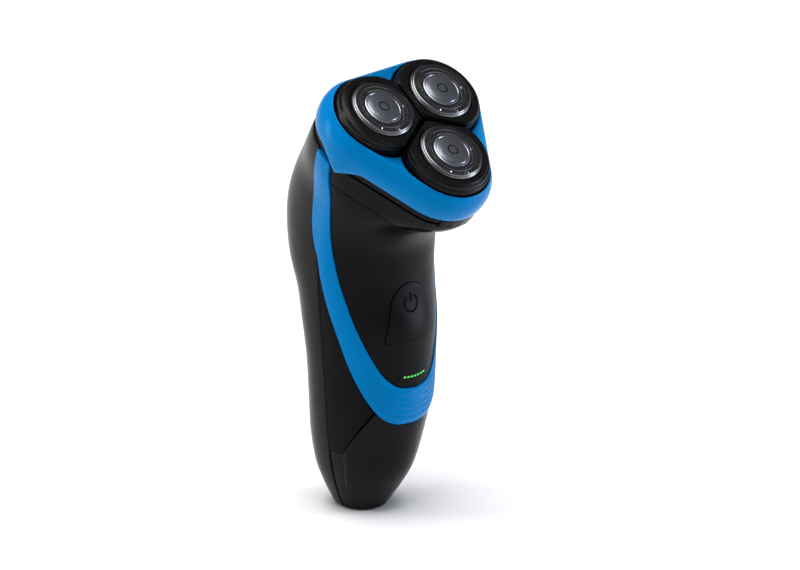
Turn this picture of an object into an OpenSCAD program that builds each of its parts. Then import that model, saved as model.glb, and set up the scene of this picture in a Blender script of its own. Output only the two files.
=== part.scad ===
// Cordless wet and dry shaver with three rotary heads.
// +Z runs up the handle, the front faces -Y, and the origin is the centre of the bottom face.

/* [Handle] */
// Height of the neck's centre above the bottom face
handle_h = 138.5; // [120:0.5:175]
// Width of the handle at its widest
grip_w = 52; // [48:0.5:64]
// Depth of the handle halfway up
grip_d = 42.3; // [40:0.1:54]
// Radius of the flat bottom face
base_r = 9; // [8.6:0.1:11]
// Forward tilt of the shaving face
head_tilt = 36; // [30:1:40]
// Thickness of the casing
wall = 2; // [1.4:0.1:2.4]
// Gap between two casing pieces that touch in view
seam_gap = 0.15; // [0.1:0.01:0.2]

/* [Blue band] */
// How far the band stands proud of the casing
band_proud = 0.5; // [0.3:0.1:1]
// Number of ribs at the foot of the band
band_ribs = 5; // [3:1:7]

/* [Shaving heads] */
// Distance from the middle of the face to each head
head_r = 16.25; // [15.6:0.05:20]
// Radius of a slotted cap
cap_r = 11.8; // [9.8:0.1:12]
// Radius of the plain disc in the middle of a cap
dome_r = 7.1; // [5.8:0.1:7.6]
// Radius of a black lobe around its head
lobe_r = 16.2; // [15.8:0.1:16.8]
// Gap between two lobes
lobe_gap = 1.3; // [1.1:0.1:1.6]
// Room between a lobe and the blue ring
lobe_room = 0.7; // [0.5:0.1:1]
// Wall of the blue ring at its widest
ring_wall = 3.4; // [3:0.1:4.2]
// Depth from the cap faces to the neck's top
head_depth = 18.9; // [18:0.1:21]

/* [Drive] */
// Teeth on the motor's pinion, a multiple of three
pinion_teeth = 21; // [18:3:24]
// Teeth on each spindle gear
gear_teeth = 44; // [40:2:50]
// Thickness of the gears
gear_t = 2.2; // [1.6:0.1:2.4]
// Radius of the motor's can
motor_r = 11.5; // [9:0.1:12]
// Length of the motor's can
motor_l = 28; // [22:0.5:32]
// Radius of a drive spindle's shaft
spindle_r = 1.5; // [1.2:0.05:1.6]
// Radial room of a turning fit
run_fit = 0.05; // [0.02:0.01:0.1]
// Blades on each cutter
blade_count = 9; // [6:1:15]

/* [Power and controls] */
// Radius of the cell
cell_r = 7.1; // [5.5:0.1:7.4]
// Length of the cell
cell_l = 49; // [40:0.5:58]
// Half width of the power button
button_w = 11.6; // [9:0.1:12]
// Height of the power button's middle
button_z = 79; // [76:0.5:84]
// Travel of the power button
button_travel = 0.6; // [0.4:0.05:0.8]
// Width of the charging recess
socket_w = 9; // [7.5:0.1:9.6]
// Depth of the charging recess, front to back
socket_d = 5.4; // [4.6:0.1:6]
// Length of the charging recess
socket_l = 9; // [7:0.1:11]

/* [Trimmer] */
// Half width of the pop-up trimmer
trimmer_w = 13; // [10:0.1:14]
// Teeth on the trimmer's comb
trimmer_teeth = 21; // [15:2:27]

/* [Hidden] */
$fn = 64;

// Directions of the three heads around the middle of the face
dir_left = 150;
dir_right = 30;
dir_front = 270;

// Scales that carry the body's stations to the sizes above
kw = grip_w / 52;
kd = grip_d / 42.3;
kz = handle_h / 138.5;
half_spacing = head_r * cos(30);
ring_r = lobe_r + lobe_room + ring_wall;
neck_r = ring_r - 2.2;
neck_front = head_r + neck_r;
neck_rear = head_r / 2 + neck_r;

// Body stations from the bottom to the neck: [centre y, z, tilt, front, rear, half width]
STATIONS = [
    [0, 0, 0, base_r, base_r, base_r],
    [-0.3 * kd, 3.2 * kz, 0, base_r + 1.8, base_r + 1.4, base_r + 2],
    [-1 * kd, 8.5 * kz, 0, 13.9 * kd, 13.2 * kd, 13.6 * kw],
    [-1.8 * kd, 17 * kz, 0, 18.2 * kd, 16.8 * kd, 16.6 * kw],
    [-3 * kd, 29 * kz, 0, 20.6 * kd, 18.8 * kd, 19.3 * kw],
    [-4 * kd, 43 * kz, 0, 22.8 * kd, 19.3 * kd, 21.2 * kw],
    [-4.3 * kd, 58 * kz, 0, 22.8 * kd, 19.5 * kd, 22.6 * kw],
    [-4.3 * kd, 72 * kz, 0, 22.8 * kd, 21.2 * kd, 23.8 * kw],
    [-4.3 * kd, 84 * kz, 0, 20.5 * kd, 23.4 * kd, 24.6 * kw],
    [-4.5 * kd, 96 * kz, head_tilt / 6, 19.5 * kd, 29 * kd, 25.3 * kw],
    [-6 * kd, 110 * kz, head_tilt / 2, 20.5 * kd, 31.5 * kd, 26 * kw],
    [-13 * kd, 126 * kz, head_tilt * 0.8, 25.5 * kd, 30 * kd, 28 * kw],
    [-21.4 * kd, handle_h, head_tilt, neck_front, neck_rear, half_spacing + neck_r - 1.5]];
top_v = len(STATIONS) - 1;

// Edges of the blue band, as [station, angle from the front]
BAND_OUT = [[4.6, 0], [4.68, 24], [5.05, 42], [6, 61], [7.4, 76], [9, 88], [10.5, 97], [11.93, 109]];
BAND_IN = [[5.54, 0], [5.66, 20], [6.1, 36], [7.1, 52], [8.5, 63], [9.8, 73], [10.8, 85], [11.93, 97]];
// Front edge of a side grip and upper edge of the lower shell, on the same terms
GRIP_FRONT = [[3.7, 72], [4, 66], [4.55, 54], [5, 42], [6, 61], [7.4, 76], [8.6, 85], [9.1, 88]];
LOWER_TOP = [[0, 4.6], [12, 4.61], [24, 4.68], [34, 4.84], [41, 4.98], [54, 4.5], [66, 4], [72, 3.7], [90, 3.7]];
seam_side = 90;

// ---- curves and surfaces ----

function clamp(x, low, high) = min(max(x, low), high);

// A smooth curve through a list of points, for v from 0 to its last index
function along(list, v) =
    let (last = len(list) - 1, i = clamp(floor(v), 0, last - 1), t = v - i,
         b = list[i], c = list[i + 1],
         a = i > 0 ? list[i - 1] : 2 * b - c, d = i + 2 <= last ? list[i + 2] : 2 * c - b)
    0.5 * ((2 * b) + (c - a) * t + (2 * a - 5 * b + 4 * c - d) * t * t + (3 * b - a - 3 * c + d) * t * t * t);

// Straight-line lookup in a list of [x, value]
function table(list, x, i = 0) =
    i >= len(list) - 2 || x <= list[i + 1][0]
        ? list[i][1] + (list[i + 1][1] - list[i][1]) * (x - list[i][0]) / (list[i + 1][0] - list[i][0])
        : table(list, x, i + 1);

function power_sign(x, p) = sign(x) * pow(abs(x), p);

// Distance from the middle of the face, in direction a, to a rounded triangle of corner radius r
// round the three heads
function tri_reach(a, r) =
    let (b = (a + 720) % 120, side = b - 90 > -60 ? b - 90 : b + 30, flat = (head_r / 2 + r) / cos(side),
         corner = (b + 120) % 120 - 30, c = corner > 60 ? corner - 120 : corner)
    abs(flat * sin(side)) <= half_spacing ? flat
        : head_r * cos(c) + sqrt(r * r - pow(head_r * sin(c), 2));

function tri_point(a, r) = tri_reach(a, r) * [cos(a), sin(a)];

// A point of the body's skin at station v and angle a from the front, sunk by depth;
// the outline turns into the rounded triangle of the shaving unit between the last two stations
function skin(v, a, depth = 0) =
    let (s = along(STATIONS, v), c = cos(a), squareness = c < 0 ? 0.8 : 1,
         reach = (c < 0 ? s[4] : s[3]) - depth, t = clamp(v - top_v + 1.4, 0, 1.4) / 1.4,
         blend = t * t * (3 - 2 * t),
         round_y = (c < 0 ? 1 : -1) * reach * pow(abs(c), squareness),
         round_x = (s[5] - depth) * power_sign(sin(a), squareness),
         tri = tri_point(a - 90, neck_r - depth),
         x = round_x + (tri[0] - round_x) * blend,
         y = round_y + (tri[1] - round_y) * blend)
    [x, s[0] + y * cos(s[2]), s[1] + y * sin(s[2])];

// Faces of a closed plate whose two skins are grids of rows by cols points
function plate_faces(rows, cols) =
    let (n = rows * cols, p = function (i, j) i * cols + j, q = function (i, j) n + i * cols + j)
    concat(
        [for (i = [0:rows - 2], j = [0:cols - 2]) each
            [[p(i, j), p(i + 1, j), p(i + 1, j + 1)], [p(i, j), p(i + 1, j + 1), p(i, j + 1)],
             [q(i, j), q(i + 1, j + 1), q(i + 1, j)], [q(i, j), q(i, j + 1), q(i + 1, j + 1)]]],
        [for (i = [0:rows - 2]) each
            [[p(i, 0), q(i + 1, 0), p(i + 1, 0)], [p(i, 0), q(i, 0), q(i + 1, 0)],
             [p(i, cols - 1), p(i + 1, cols - 1), q(i + 1, cols - 1)],
             [p(i, cols - 1), q(i + 1, cols - 1), q(i, cols - 1)]]],
        [for (j = [0:cols - 2]) each
            [[p(0, j), p(0, j + 1), q(0, j + 1)], [p(0, j), q(0, j + 1), q(0, j)],
             [p(rows - 1, j), q(rows - 1, j + 1), p(rows - 1, j + 1)],
             [p(rows - 1, j), q(rows - 1, j), q(rows - 1, j + 1)]]]);

// A plate of the casing over a grid of [station, angle] spots, from top_depth to low_depth under the skin;
// a spot's third number raises the plate there
module skin_plate(spots, top_depth = 0, low_depth = wall) {
    rows = len(spots);
    cols = len(spots[0]);
    polyhedron(
        points = concat([for (row = spots, s = row) skin(s[0], s[1], top_depth - (len(s) > 2 ? s[2] : 0))],
                        [for (row = spots, s = row) skin(s[0], s[1], low_depth)]),
        faces = plate_faces(rows, cols), convexity = 8);
}

// Height of the seam between the front panel and the neck collar, as a station
function seam_v(a) = 10.85 + 0.57 * pow(sin(min(90, abs(a) * 1.5)), 2);

// A helical spring standing on z = 0
module coil_spring(radius, wire, turns, height) {
    sides = 6;
    steps = turns * 12;
    rings = [for (k = [0:steps]) let (a = 360 * turns * k / steps, z = wire + (height - 2 * wire) * k / steps)
        for (m = [0:sides - 1]) let (b = 360 * m / sides, r = radius + wire * cos(b))
            [r * cos(a), r * sin(a), z + wire * sin(b)]];
    polyhedron(points = rings, convexity = 10,
        faces = concat([[for (m = [sides - 1:-1:0]) m]],
            [[for (m = [0:sides - 1]) steps * sides + m]],
            [for (k = [0:steps - 1], m = [0:sides - 1]) let (n = (m + 1) % sides) each
                [[k * sides + m, (k + 1) * sides + n, (k + 1) * sides + m],
                 [k * sides + m, k * sides + n, (k + 1) * sides + n]]]));
}

// ---- places ----

neck = STATIONS[top_v];
face_y = neck[0] - head_depth * sin(head_tilt);
face_z = neck[1] + head_depth * cos(head_tilt);

// Draws its children in the frame of the shaving face: z = 0 is the face, +Z looks out of it
module on_face() {
    translate([0, face_y, face_z]) rotate([head_tilt, 0, 0]) children();
}

// The same, centred on the head in direction dir
module on_head(dir) {
    on_face() translate([head_r * cos(dir), head_r * sin(dir), 0]) children();
}

// Levels in the frame of the shaving face
lobe_top = -1.1;
lobe_floor = -7.2;
tilt_z = -6;
ring_floor = -16;
plate_top = -16.3;
plate_floor = -18.7;
gear_top = plate_floor - 1.4;
gear_floor = gear_top - gear_t;
mount_top = gear_floor - 1;
mount_floor = mount_top - 1.6;
hinge_y = neck_rear + 0.9;
hinge_z = -17.7;
pin_r = 0.9;
socket_mouth = -7.4;
tip_top = -6.2;

// ---- casing ----

rows_long = 24;

module rear_shell() {
    edge = function (v) v < 9.3 ? seam_side : table([[9.3, 90], [10.5, 97], [11.93, 109], [12, 110]], v);
    color([0.05, 0.05, 0.06])
    difference() {
        skin_plate([for (i = [0:rows_long]) let (v = (top_v - 0.03) * i / rows_long)
            [for (j = [0:20]) let (e = edge(v) + seam_gap) [v, e + (360 - 2 * e) * j / 20]]]);
        trimmer_outline(0.4, 50);
        slide_outline(0.5, 9);
        rear_hinge_room();
    }
}

// Room for the hinge's knuckles at the top of the rear shell
module rear_hinge_room() {
    on_face() translate([-11, hinge_y - 6, hinge_z - 3.4]) cube([22, 14, 10]);
}

module lower_shell() {
    half = [0, 6, 12, 18, 24, 29, 34, 38, 41, 47, 54, 60, 66, 72, 78, 84, seam_side - seam_gap];
    angles = concat([for (j = [len(half) - 1:-1:1]) -half[j]], half);
    color([0.06, 0.06, 0.07])
    skin_plate([for (i = [0:12]) [for (a = angles) [(table(LOWER_TOP, abs(a)) - 0.01) * i / 12, a]]]);
}

// The side grip, side = -1 on the left, +1 on the right
module side_grip(side) {
    color([0.09, 0.09, 0.1])
    skin_plate([for (i = [0:20]) let (v = 3.715 + (9.05 - 3.715) * i / 20, front = table(GRIP_FRONT, v) + 1)
        [for (j = [0:5]) let (a = front + (seam_side - seam_gap - front) * j / 5)
            side > 0 ? [v, a] : [v, -(front + seam_side - seam_gap - a)]]]);
}
module side_grip_left() { side_grip(-1); }
module side_grip_right() { side_grip(1); }

// A spot of the band: u = -1..1 runs round the U, w = 0..1 from its outer to its inner edge
function band_spot(u, w) =
    let (k = (1 - abs(u)) * (len(BAND_OUT) - 1), o = along(BAND_OUT, 7 - k), i = along(BAND_IN, 7 - k),
         side = u < 0 ? -1 : 1, v = o[0] + (i[0] - o[0]) * w, a = o[1] + (i[1] - o[1]) * w)
    [v, side * a];

rib_h = 0.4;

// Height of the ribs across the foot of the band, fading out towards its arms
function rib(u, w) = rib_h * max(0, 1 - pow(u / 0.36, 4)) * pow(sin(180 * band_ribs * clamp((w - 0.08) / 0.84, 0, 1)), 2);

module blue_band() {
    inset = 0.02;
    rows = 48;
    cols = 4 * band_ribs;
    color([0.05, 0.45, 0.8])
    skin_plate([for (i = [0:rows]) let (u = -1 + 2 * i / rows)
        [for (j = [0:cols]) let (w = inset + (1 - 2 * inset) * (1 - j / cols), s = band_spot(u, w))
            [s[0], s[1], rib(u, w)]]], -band_proud, wall);
}

// Where the band's inner edge, counted by its points, meets the neck's seam
panel_top = 6.53;

// The front panel inside the band, up to the neck's seam
module front_panel() {
    color([0.07, 0.07, 0.08])
    difference() {
        skin_plate([for (i = [0:22]) let (k = 0.15 + (panel_top - 0.15) * i / 22, edge = along(BAND_IN, k),
                rise = pow(i / 22, 4))
            [for (j = [0:16]) let (a = -edge[1] + 2 * edge[1] * j / 16)
                [edge[0] + 0.02 + (seam_v(a) - along(BAND_IN, panel_top)[0] - 0.02) * rise,
                 a * (1 - 0.25 / max(edge[1], 1))]]]);
        button_outline(0.3);
        lens_outline(0.05);
    }
}

// The glossy collar between the front panel and the shaving unit
module neck_collar() {
    color([0.04, 0.04, 0.05])
    difference() {
        skin_plate([for (i = [0:5]) let (half = 90.5 + 6 * i / 5) [for (j = [0:24])
            let (a = -half + 2 * half * j / 24, low = seam_v(a) + 0.012)
            [low + (top_v - 0.03 - low) * i / 5, a]]]);
        on_face() release_block(release_gap, release_travel);
    }
}

// The body's outline at the neck, drawn smaller by inset
module neck_outline(inset) {
    polygon([for (a = [0:6:354]) tri_point(a, neck_r - inset)]);
}

// Closes the handle's top under the shaving unit, with a collar round each spindle
module top_plate() {
    color([0.12, 0.12, 0.13])
    on_face() difference() {
        union() {
            translate([0, 0, plate_floor]) linear_extrude(plate_top - plate_floor) neck_outline(0.3);
            for (dir = [dir_left, dir_right, dir_front])
                translate([head_r * cos(dir), head_r * sin(dir), plate_floor])
                    cylinder(r = 4.6, h = plate_top - plate_floor + 1.6);
            translate([-4, hinge_y - 5, plate_floor]) cube([8, 5, 1.9]);
            translate([-4, hinge_y, hinge_z]) rotate([0, 90, 0]) cylinder(r = 1.9, h = 8);
        }
        for (dir = [dir_left, dir_right, dir_front])
            translate([head_r * cos(dir), head_r * sin(dir), plate_floor - 1])
                cylinder(r = spindle_r + 1.1, h = 9);
        translate([-5, hinge_y, hinge_z]) rotate([0, 90, 0]) cylinder(r = pin_r, h = 10);
        for (side = [-1, 1])
            translate([side > 0 ? 4 : -13, hinge_y - 2.6, plate_floor - 1]) cube([9, 6, 5]);
        release_block(release_gap, release_travel);
    }
}

module neck_seal() {
    color([0.2, 0.2, 0.2])
    on_face() translate([0, 0, plate_floor - 1]) linear_extrude(0.9)
        difference() {
            scale([0.92, 0.92]) neck_outline(0.3);
            scale([0.89, 0.89]) neck_outline(0.3);
            translate([-9, -40]) square([18, 16]);
        }
}

// ---- drive ----

// Outline of a gear with a tooth on the +X axis
module gear_outline(teeth, mesh_m) {
    pitch = 360 / teeth;
    r = mesh_m * teeth / 2;
    profile = [[-0.34, -1.05], [-0.235, 0], [-0.12, 0.8], [0.12, 0.8], [0.235, 0], [0.34, -1.05]];
    polygon([for (k = [0:teeth - 1], p = profile)
        let (a = pitch * (k + p[0]), rr = r + p[1] * mesh_m) [rr * cos(a), rr * sin(a)]]);
}

gear_m = 2 * head_r / (pinion_teeth + gear_teeth);

module pinion() {
    color([0.85, 0.8, 0.6])
    on_face() difference() {
        translate([0, 0, gear_floor]) linear_extrude(gear_t) rotate(dir_right) gear_outline(pinion_teeth, gear_m);
        translate([0, 0, gear_floor - 1]) cylinder(r = 1, h = gear_t + 2);
    }
    color("silver") on_face() translate([0, 0, mount_floor + 0.2]) cylinder(r = 1, h = gear_top - mount_floor - 0.1);
}

module spindle_gear(dir) {
    color([0.9, 0.9, 0.85])
    on_head(dir) difference() {
        translate([0, 0, gear_floor]) linear_extrude(gear_t)
            rotate(dir + 180 + 180 / gear_teeth) gear_outline(gear_teeth, gear_m);
        translate([0, 0, gear_floor - 1]) cylinder(r = spindle_r, h = gear_t + 2);
    }
}
module gear_left() { spindle_gear(dir_left); }
module gear_right() { spindle_gear(dir_right); }
module gear_front() { spindle_gear(dir_front); }

// A spindle: a shaft in the motor plate, a skirt over the collar and a tapered drive tip
module spindle(dir) {
    color([0.8, 0.82, 0.85])
    on_head(dir) {
        translate([0, 0, mount_floor + 0.1]) cylinder(r = spindle_r, h = socket_mouth - 0.6 - mount_floor);
        rotate_extrude() polygon([[0, -12.4], [2.6, -12.4], [2.6, -11.2], [2.1, -10], [2, -8.2],
            [1.3, tip_top], [0, tip_top]]);
    }
}
module spindle_left() { spindle(dir_left); }
module spindle_right() { spindle(dir_right); }
module spindle_front() { spindle(dir_front); }

module spindle_spring(dir) {
    color("gainsboro")
    on_head(dir) translate([0, 0, plate_top - 1.2]) coil_spring(2.05, 0.2, 4, -12.5 - plate_top + 1.2);
}
module spring_left() { spindle_spring(dir_left); }
module spring_right() { spindle_spring(dir_right); }
module spring_front() { spindle_spring(dir_front); }

// Plate that carries the motor and the feet of the three spindles
module motor_plate() {
    color([0.3, 0.3, 0.32])
    on_face() difference() {
        union() {
            translate([0, 0, mount_floor]) linear_extrude(mount_top - mount_floor) intersection() {
                union() {
                    circle(r = motor_r + 4);
                    for (dir = [dir_left, dir_right, dir_front])
                        translate([head_r * cos(dir), head_r * sin(dir)]) circle(r = 4.4);
                }
                circle(r = head_r + 4.2);
            }
            for (a = screw_angles) rotate(a) {
                translate([motor_r, -2.4, mount_floor]) cube([screw_r - motor_r, 4.8, mount_top - mount_floor]);
                translate([screw_r, 0, mount_floor]) cylinder(r = 2.4, h = plate_floor - mount_floor);
            }
        }
        for (dir = [dir_left, dir_right, dir_front])
            translate([head_r * cos(dir), head_r * sin(dir), mount_floor - 1])
                cylinder(r = spindle_r + run_fit, h = 9);
        translate([0, 0, mount_floor - 1]) cylinder(r = 3, h = 9);
        for (a = screw_angles) rotate(a) translate([screw_r, 0, mount_floor - 1]) cylinder(r = 0.8, h = 12);
    }
}

module motor() {
    color([0.62, 0.64, 0.66])
    on_face() difference() {
        union() {
            translate([0, 0, mount_floor - motor_l]) cylinder(r = motor_r, h = motor_l);
            translate([0, 0, mount_floor - motor_l - 1.5]) cylinder(r = 3, h = 2);
            translate([0, 0, mount_floor]) cylinder(r = 2.8, h = 0.15);
        }
        translate([0, 0, mount_floor - 12]) cylinder(r = 1 + run_fit, h = 13);
        for (side = [-1, 1])
            translate([side * motor_r - 0.6, -5, mount_floor - motor_l - 1]) cube([1.2, 10, motor_l + 2]);
    }
}

screw_r = head_r + 4.2;
screw_angles = [90, 210, 330];

module screws() {
    color("silver")
    on_face() for (a = screw_angles)
        rotate(a) translate([screw_r, 0, mount_floor - 1.4]) {
            difference() {
                cylinder(r = 1.6, h = 1.4);
                translate([-1.7, -0.3, -1]) cube([3.4, 0.6, 1.6]);
            }
            cylinder(r = 0.8, h = 7);
        }
}

// ---- power ----

cell_y = 3.2 * kd;
cell_z = 21 * kz;
board_y = -15 * kd;
board_t = 1.2;
board_w = 24;
board_low = 26 * kz;
board_top = button_z + 9;
spine_y = -9.6 * kd;
spine_t = 1.8;

// The inner frame: a spine, saddles that hold the cell, posts for the board and a cradle for the motor
module chassis() {
    color([0.16, 0.16, 0.17])
    difference() {
        union() {
            translate([-board_w / 2, spine_y, cell_z - 6]) cube([board_w, spine_t, board_top - cell_z + 10]);
            for (z = [cell_z - 4, cell_z + cell_l / 2, cell_z + cell_l + 1.4])
                translate([-cell_r - 2, spine_y, z]) cube([2 * cell_r + 4, cell_y - spine_y + 2, 2.4]);
            for (x = [-8, 8], z = [board_low + 6, board_top - 6])
                translate([x, board_y + board_t, z]) rotate([-90, 0, 0])
                    cylinder(r = 2, h = spine_y - board_y - board_t + 0.2);
            translate([-4, spine_y, board_top]) cube([8, spine_t, cradle_foot[1] - board_top]);
            translate([-4, cradle_foot[0] - 1, cradle_foot[1] - 4])
                cube([8, spine_y + spine_t - cradle_foot[0] + 1, 6]);
            cradle_body();
        }
        translate([0, cell_y, cell_z]) cylinder(r = cell_r + 0.1, h = cell_l);
        on_face() translate([0, 0, mount_floor - motor_l - 1]) cylinder(r = motor_r, h = motor_l + 1);
    }
}

// [y, z] of a point on the middle plane given in the frame of the shaving face
function face_point(y, z) =
    [face_y + y * cos(head_tilt) - z * sin(head_tilt), face_z + y * sin(head_tilt) + z * cos(head_tilt)];
cradle_foot = face_point(-motor_r - 0.8, mount_floor - motor_l + 1);

module cradle_body() {
    on_face() translate([0, 0, mount_floor - motor_l]) intersection() {
        cylinder(r = motor_r + 1.6, h = 9);
        translate([-motor_r, -motor_r - 2, 0]) cube([2 * motor_r, motor_r, 9]);
    }
}

module cell() {
    color([0.1, 0.5, 0.35])
    translate([0, cell_y, cell_z + 0.4]) {
        cylinder(r = cell_r, h = cell_l - 1.6);
        translate([0, 0, cell_l - 1.6]) cylinder(r = 2.6, h = 0.8);
    }
}

module cell_tabs() {
    color("gold")
    for (z = [cell_z, cell_z + cell_l - 0.4])
        translate([-2.5, cell_y - 5, z]) cube([5, 10, 0.4]);
}

module circuit_board() {
    color([0.05, 0.35, 0.15])
    translate([-board_w / 2, board_y, board_low]) cube([board_w, board_t, board_top - board_low]);
    color([0.1, 0.1, 0.1])
    for (z = [board_low + 8, board_low + 18])
        translate([-4, board_y - 1.2, z]) cube([8, 1.2, 6]);
}

switch_h = 3;

module power_switch() {
    color([0.2, 0.2, 0.2])
    translate([-3, board_y - switch_h, button_z - 3]) cube([6, switch_h, 6]);
}

lens_z = 55.5 * kz;
lens_w = 13;

module charge_lights() {
    color([0.3, 0.9, 0.4])
    for (x = [-3, 0, 3])
        translate([x - 0.8, board_y - 1, lens_z - 0.8]) cube([1.6, 1, 1.6]);
}

// Outline of the display lens, run through the front panel
module lens_outline(room) {
    translate([0, -10, lens_z]) rotate([90, 0, 0]) linear_extrude(40)
        hull() for (x = [-lens_w / 2 + 1.2, lens_w / 2 - 1.2]) translate([x, 0]) circle(r = 1.2 + room, $fn = 24);
}

module display_lens() {
    color([0.1, 0.12, 0.1])
    intersection() {
        lens_outline(0);
        skin_plate([for (i = [0:4]) [for (j = [0:8]) [5.5 + 0.8 * i / 4, -20 + 40 * j / 8]]], -0.05, wall + 1);
    }
}

// The bottom piece that holds the charging socket
module base_cap() {
    color([0.06, 0.06, 0.07])
    difference() {
        union() {
            cylinder(r = base_r - wall - 0.05, h = 2.4);
            translate([-socket_w / 2 - 1.2, -socket_d / 2 - 1, 0]) cube([socket_w + 2.4, socket_d + 2, 2.4]);
        }
        socket_room(0.05);
    }
}

socket_wall = 0.7;

// Room for the charging socket, open at the bottom face
module socket_room(room) {
    translate([-socket_w / 2 - socket_wall - room, -socket_d / 2 - socket_wall - room, -1])
        cube([socket_w + 2 * (socket_wall + room), socket_d + 2 * (socket_wall + room), socket_l + 3]);
}

module charging_socket() {
    color([0.14, 0.14, 0.15])
    difference() {
        translate([-socket_w / 2 - socket_wall, -socket_d / 2 - socket_wall, 0])
            cube([socket_w + 2 * socket_wall, socket_d + 2 * socket_wall, socket_l + 1.6]);
        translate([-socket_w / 2, -socket_d / 2, -1]) cube([socket_w, socket_d, socket_l + 1]);
        for (x = [-2.3, 2.3]) translate([x, 0, socket_l - 1]) cylinder(r = 0.7, h = 4);
    }
}

module charge_pins() {
    color("silver")
    for (x = [-2.3, 2.3]) translate([x, 0, 4.5]) cylinder(r = 0.7, h = socket_l - 0.5);
}

// ---- controls ----

// Outline of the power button in front view, an arch on a wider foot, a little larger by room
module button_outline(room) {
    translate([0, -10, button_z]) rotate([90, 0, 0]) linear_extrude(40) hull() {
        translate([0, button_w - 9.7]) circle(r = button_w * 0.74 + room, $fn = 32);
        translate([-button_w - room, -9.5 - room]) square([2 * button_w + 2 * room, 1.5]);
    }
}

// The power button: an arched cap that follows the panel, a raised mark and a plunger to the switch
module power_button() {
    color([0.1, 0.1, 0.11])
    intersection() {
        button_outline(0);
        union() {
            skin_plate([for (i = [0:10]) [for (j = [0:16]) [6 + 3.2 * i / 10, -44 + 88 * j / 16]]], -0.25, wall - 0.2);
            translate([-2, board_y - switch_h - button_travel - 0.1 - plunger_l, button_z - 2])
                cube([4, plunger_l, 4]);
        }
    }
}

plunger_l = 23.5 * kd + board_y - switch_h - button_travel;

release_w = 16;
release_t = 3.6;
release_travel = 1.2;
release_gap = 0.3;
release_proud = 0.7;

// The release button's block on the front of the neck, larger by room and deeper by travel
module release_block(room, travel) {
    translate([-release_w / 2 - room, -neck_front - 3, plate_top - 0.2 - release_t - room])
        cube([release_w + 2 * room, 7 + room + travel, release_t + 2 * room + (travel > 0 ? 2 : 0)]);
}

module release_button() {
    color([0.07, 0.07, 0.08])
    on_face() intersection() {
        release_block(0, 0);
        translate([0, 0, plate_floor - 6]) linear_extrude(12) neck_outline(-release_proud);
    }
}

module release_spring() {
    color("silver")
    on_face() translate([0, -neck_front + 4.1, plate_top - 0.2 - release_t / 2]) rotate([-90, 0, 0])
        coil_spring(1, 0.12, 3, release_travel + 0.2);
}

// ---- trimmer ----

trimmer_low = 100 * kz;
trimmer_high = 129 * kz;
pivot_y = 19.9 * kd;
pivot_z = 127.4 * kz;
pivot_pin_r = 0.7;
pivot_pin_half = 6;

// Rear view outline of the trimmer's arm, run through the rear shell
module trimmer_outline(room, reach) {
    rotate([90, 0, 180]) linear_extrude(reach)
        hull() {
            for (x = [-trimmer_w + 3, trimmer_w - 3]) {
                translate([x, trimmer_low + 3]) circle(r = 3 + room, $fn = 24);
                translate([x, trimmer_high - 3]) circle(r = 3 + room, $fn = 24);
            }
        }
}

module trimmer_arm() {
    color([0.06, 0.06, 0.07])
    difference() {
        intersection() {
            trimmer_outline(0, 50);
            skin_plate([for (i = [0:10]) [for (j = [0:12]) [8.8 + 2.2 * i / 10, 140 + 80 * j / 12]]],
                -0.2, wall + 0.6);
        }
        translate([-pivot_pin_half - 0.5, pivot_y, pivot_z]) rotate([0, 90, 0])
            cylinder(r = pivot_pin_r + run_fit, h = 2 * pivot_pin_half + 1);
    }
}

module trimmer_pin() {
    color("silver")
    translate([-pivot_pin_half, pivot_y, pivot_z]) rotate([0, 90, 0])
        cylinder(r = pivot_pin_r, h = 2 * pivot_pin_half);
}

comb_y = 19.4 * kd;

// Comb of the trimmer, teeth pointing down while it is folded
module trimmer_comb() {
    color("silver")
    translate([0, comb_y, 0]) {
        translate([-trimmer_w + 2, -0.7, trimmer_low + 4]) cube([2 * trimmer_w - 4, 0.7, 9]);
        for (k = [0:trimmer_teeth - 1])
            let (x = (2 * trimmer_w - 5) * (k / (trimmer_teeth - 1) - 0.5))
                translate([x - 0.28, -0.7, trimmer_low + 1]) cube([0.56, 0.7, 4]);
    }
}

module trimmer_blade() {
    color("gainsboro")
    translate([0, comb_y - 0.8, 0]) {
        translate([-trimmer_w + 3.2, -0.8, trimmer_low + 4.6]) cube([2 * trimmer_w - 6.4, 0.7, 6]);
        for (k = [0:trimmer_teeth - 3])
            let (x = (2 * trimmer_w - 7.4) * (k / (trimmer_teeth - 3) - 0.5))
                translate([x - 0.25, -0.8, trimmer_low + 1.6]) cube([0.5, 0.7, 4]);
    }
}

slide_z = 88 * kz;

module slide_outline(room, extra) {
    rotate([90, 0, 180]) linear_extrude(50)
        translate([-6 - room, slide_z - 4 - room - (extra > 0 ? slide_travel : 0)])
            square([12 + 2 * room, 8 + 2 * room + (extra > 0 ? slide_travel : 0)]);
}

slide_travel = 3;

module trimmer_slide() {
    color([0.09, 0.09, 0.1])
    intersection() {
        slide_outline(0, 0);
        skin_plate([for (i = [0:5]) [for (j = [0:8]) [7.6 + 1.4 * i / 5, 155 + 50 * j / 8]]], -0.8, wall + 0.8);
    }
}

// ---- shaving unit ----

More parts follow.
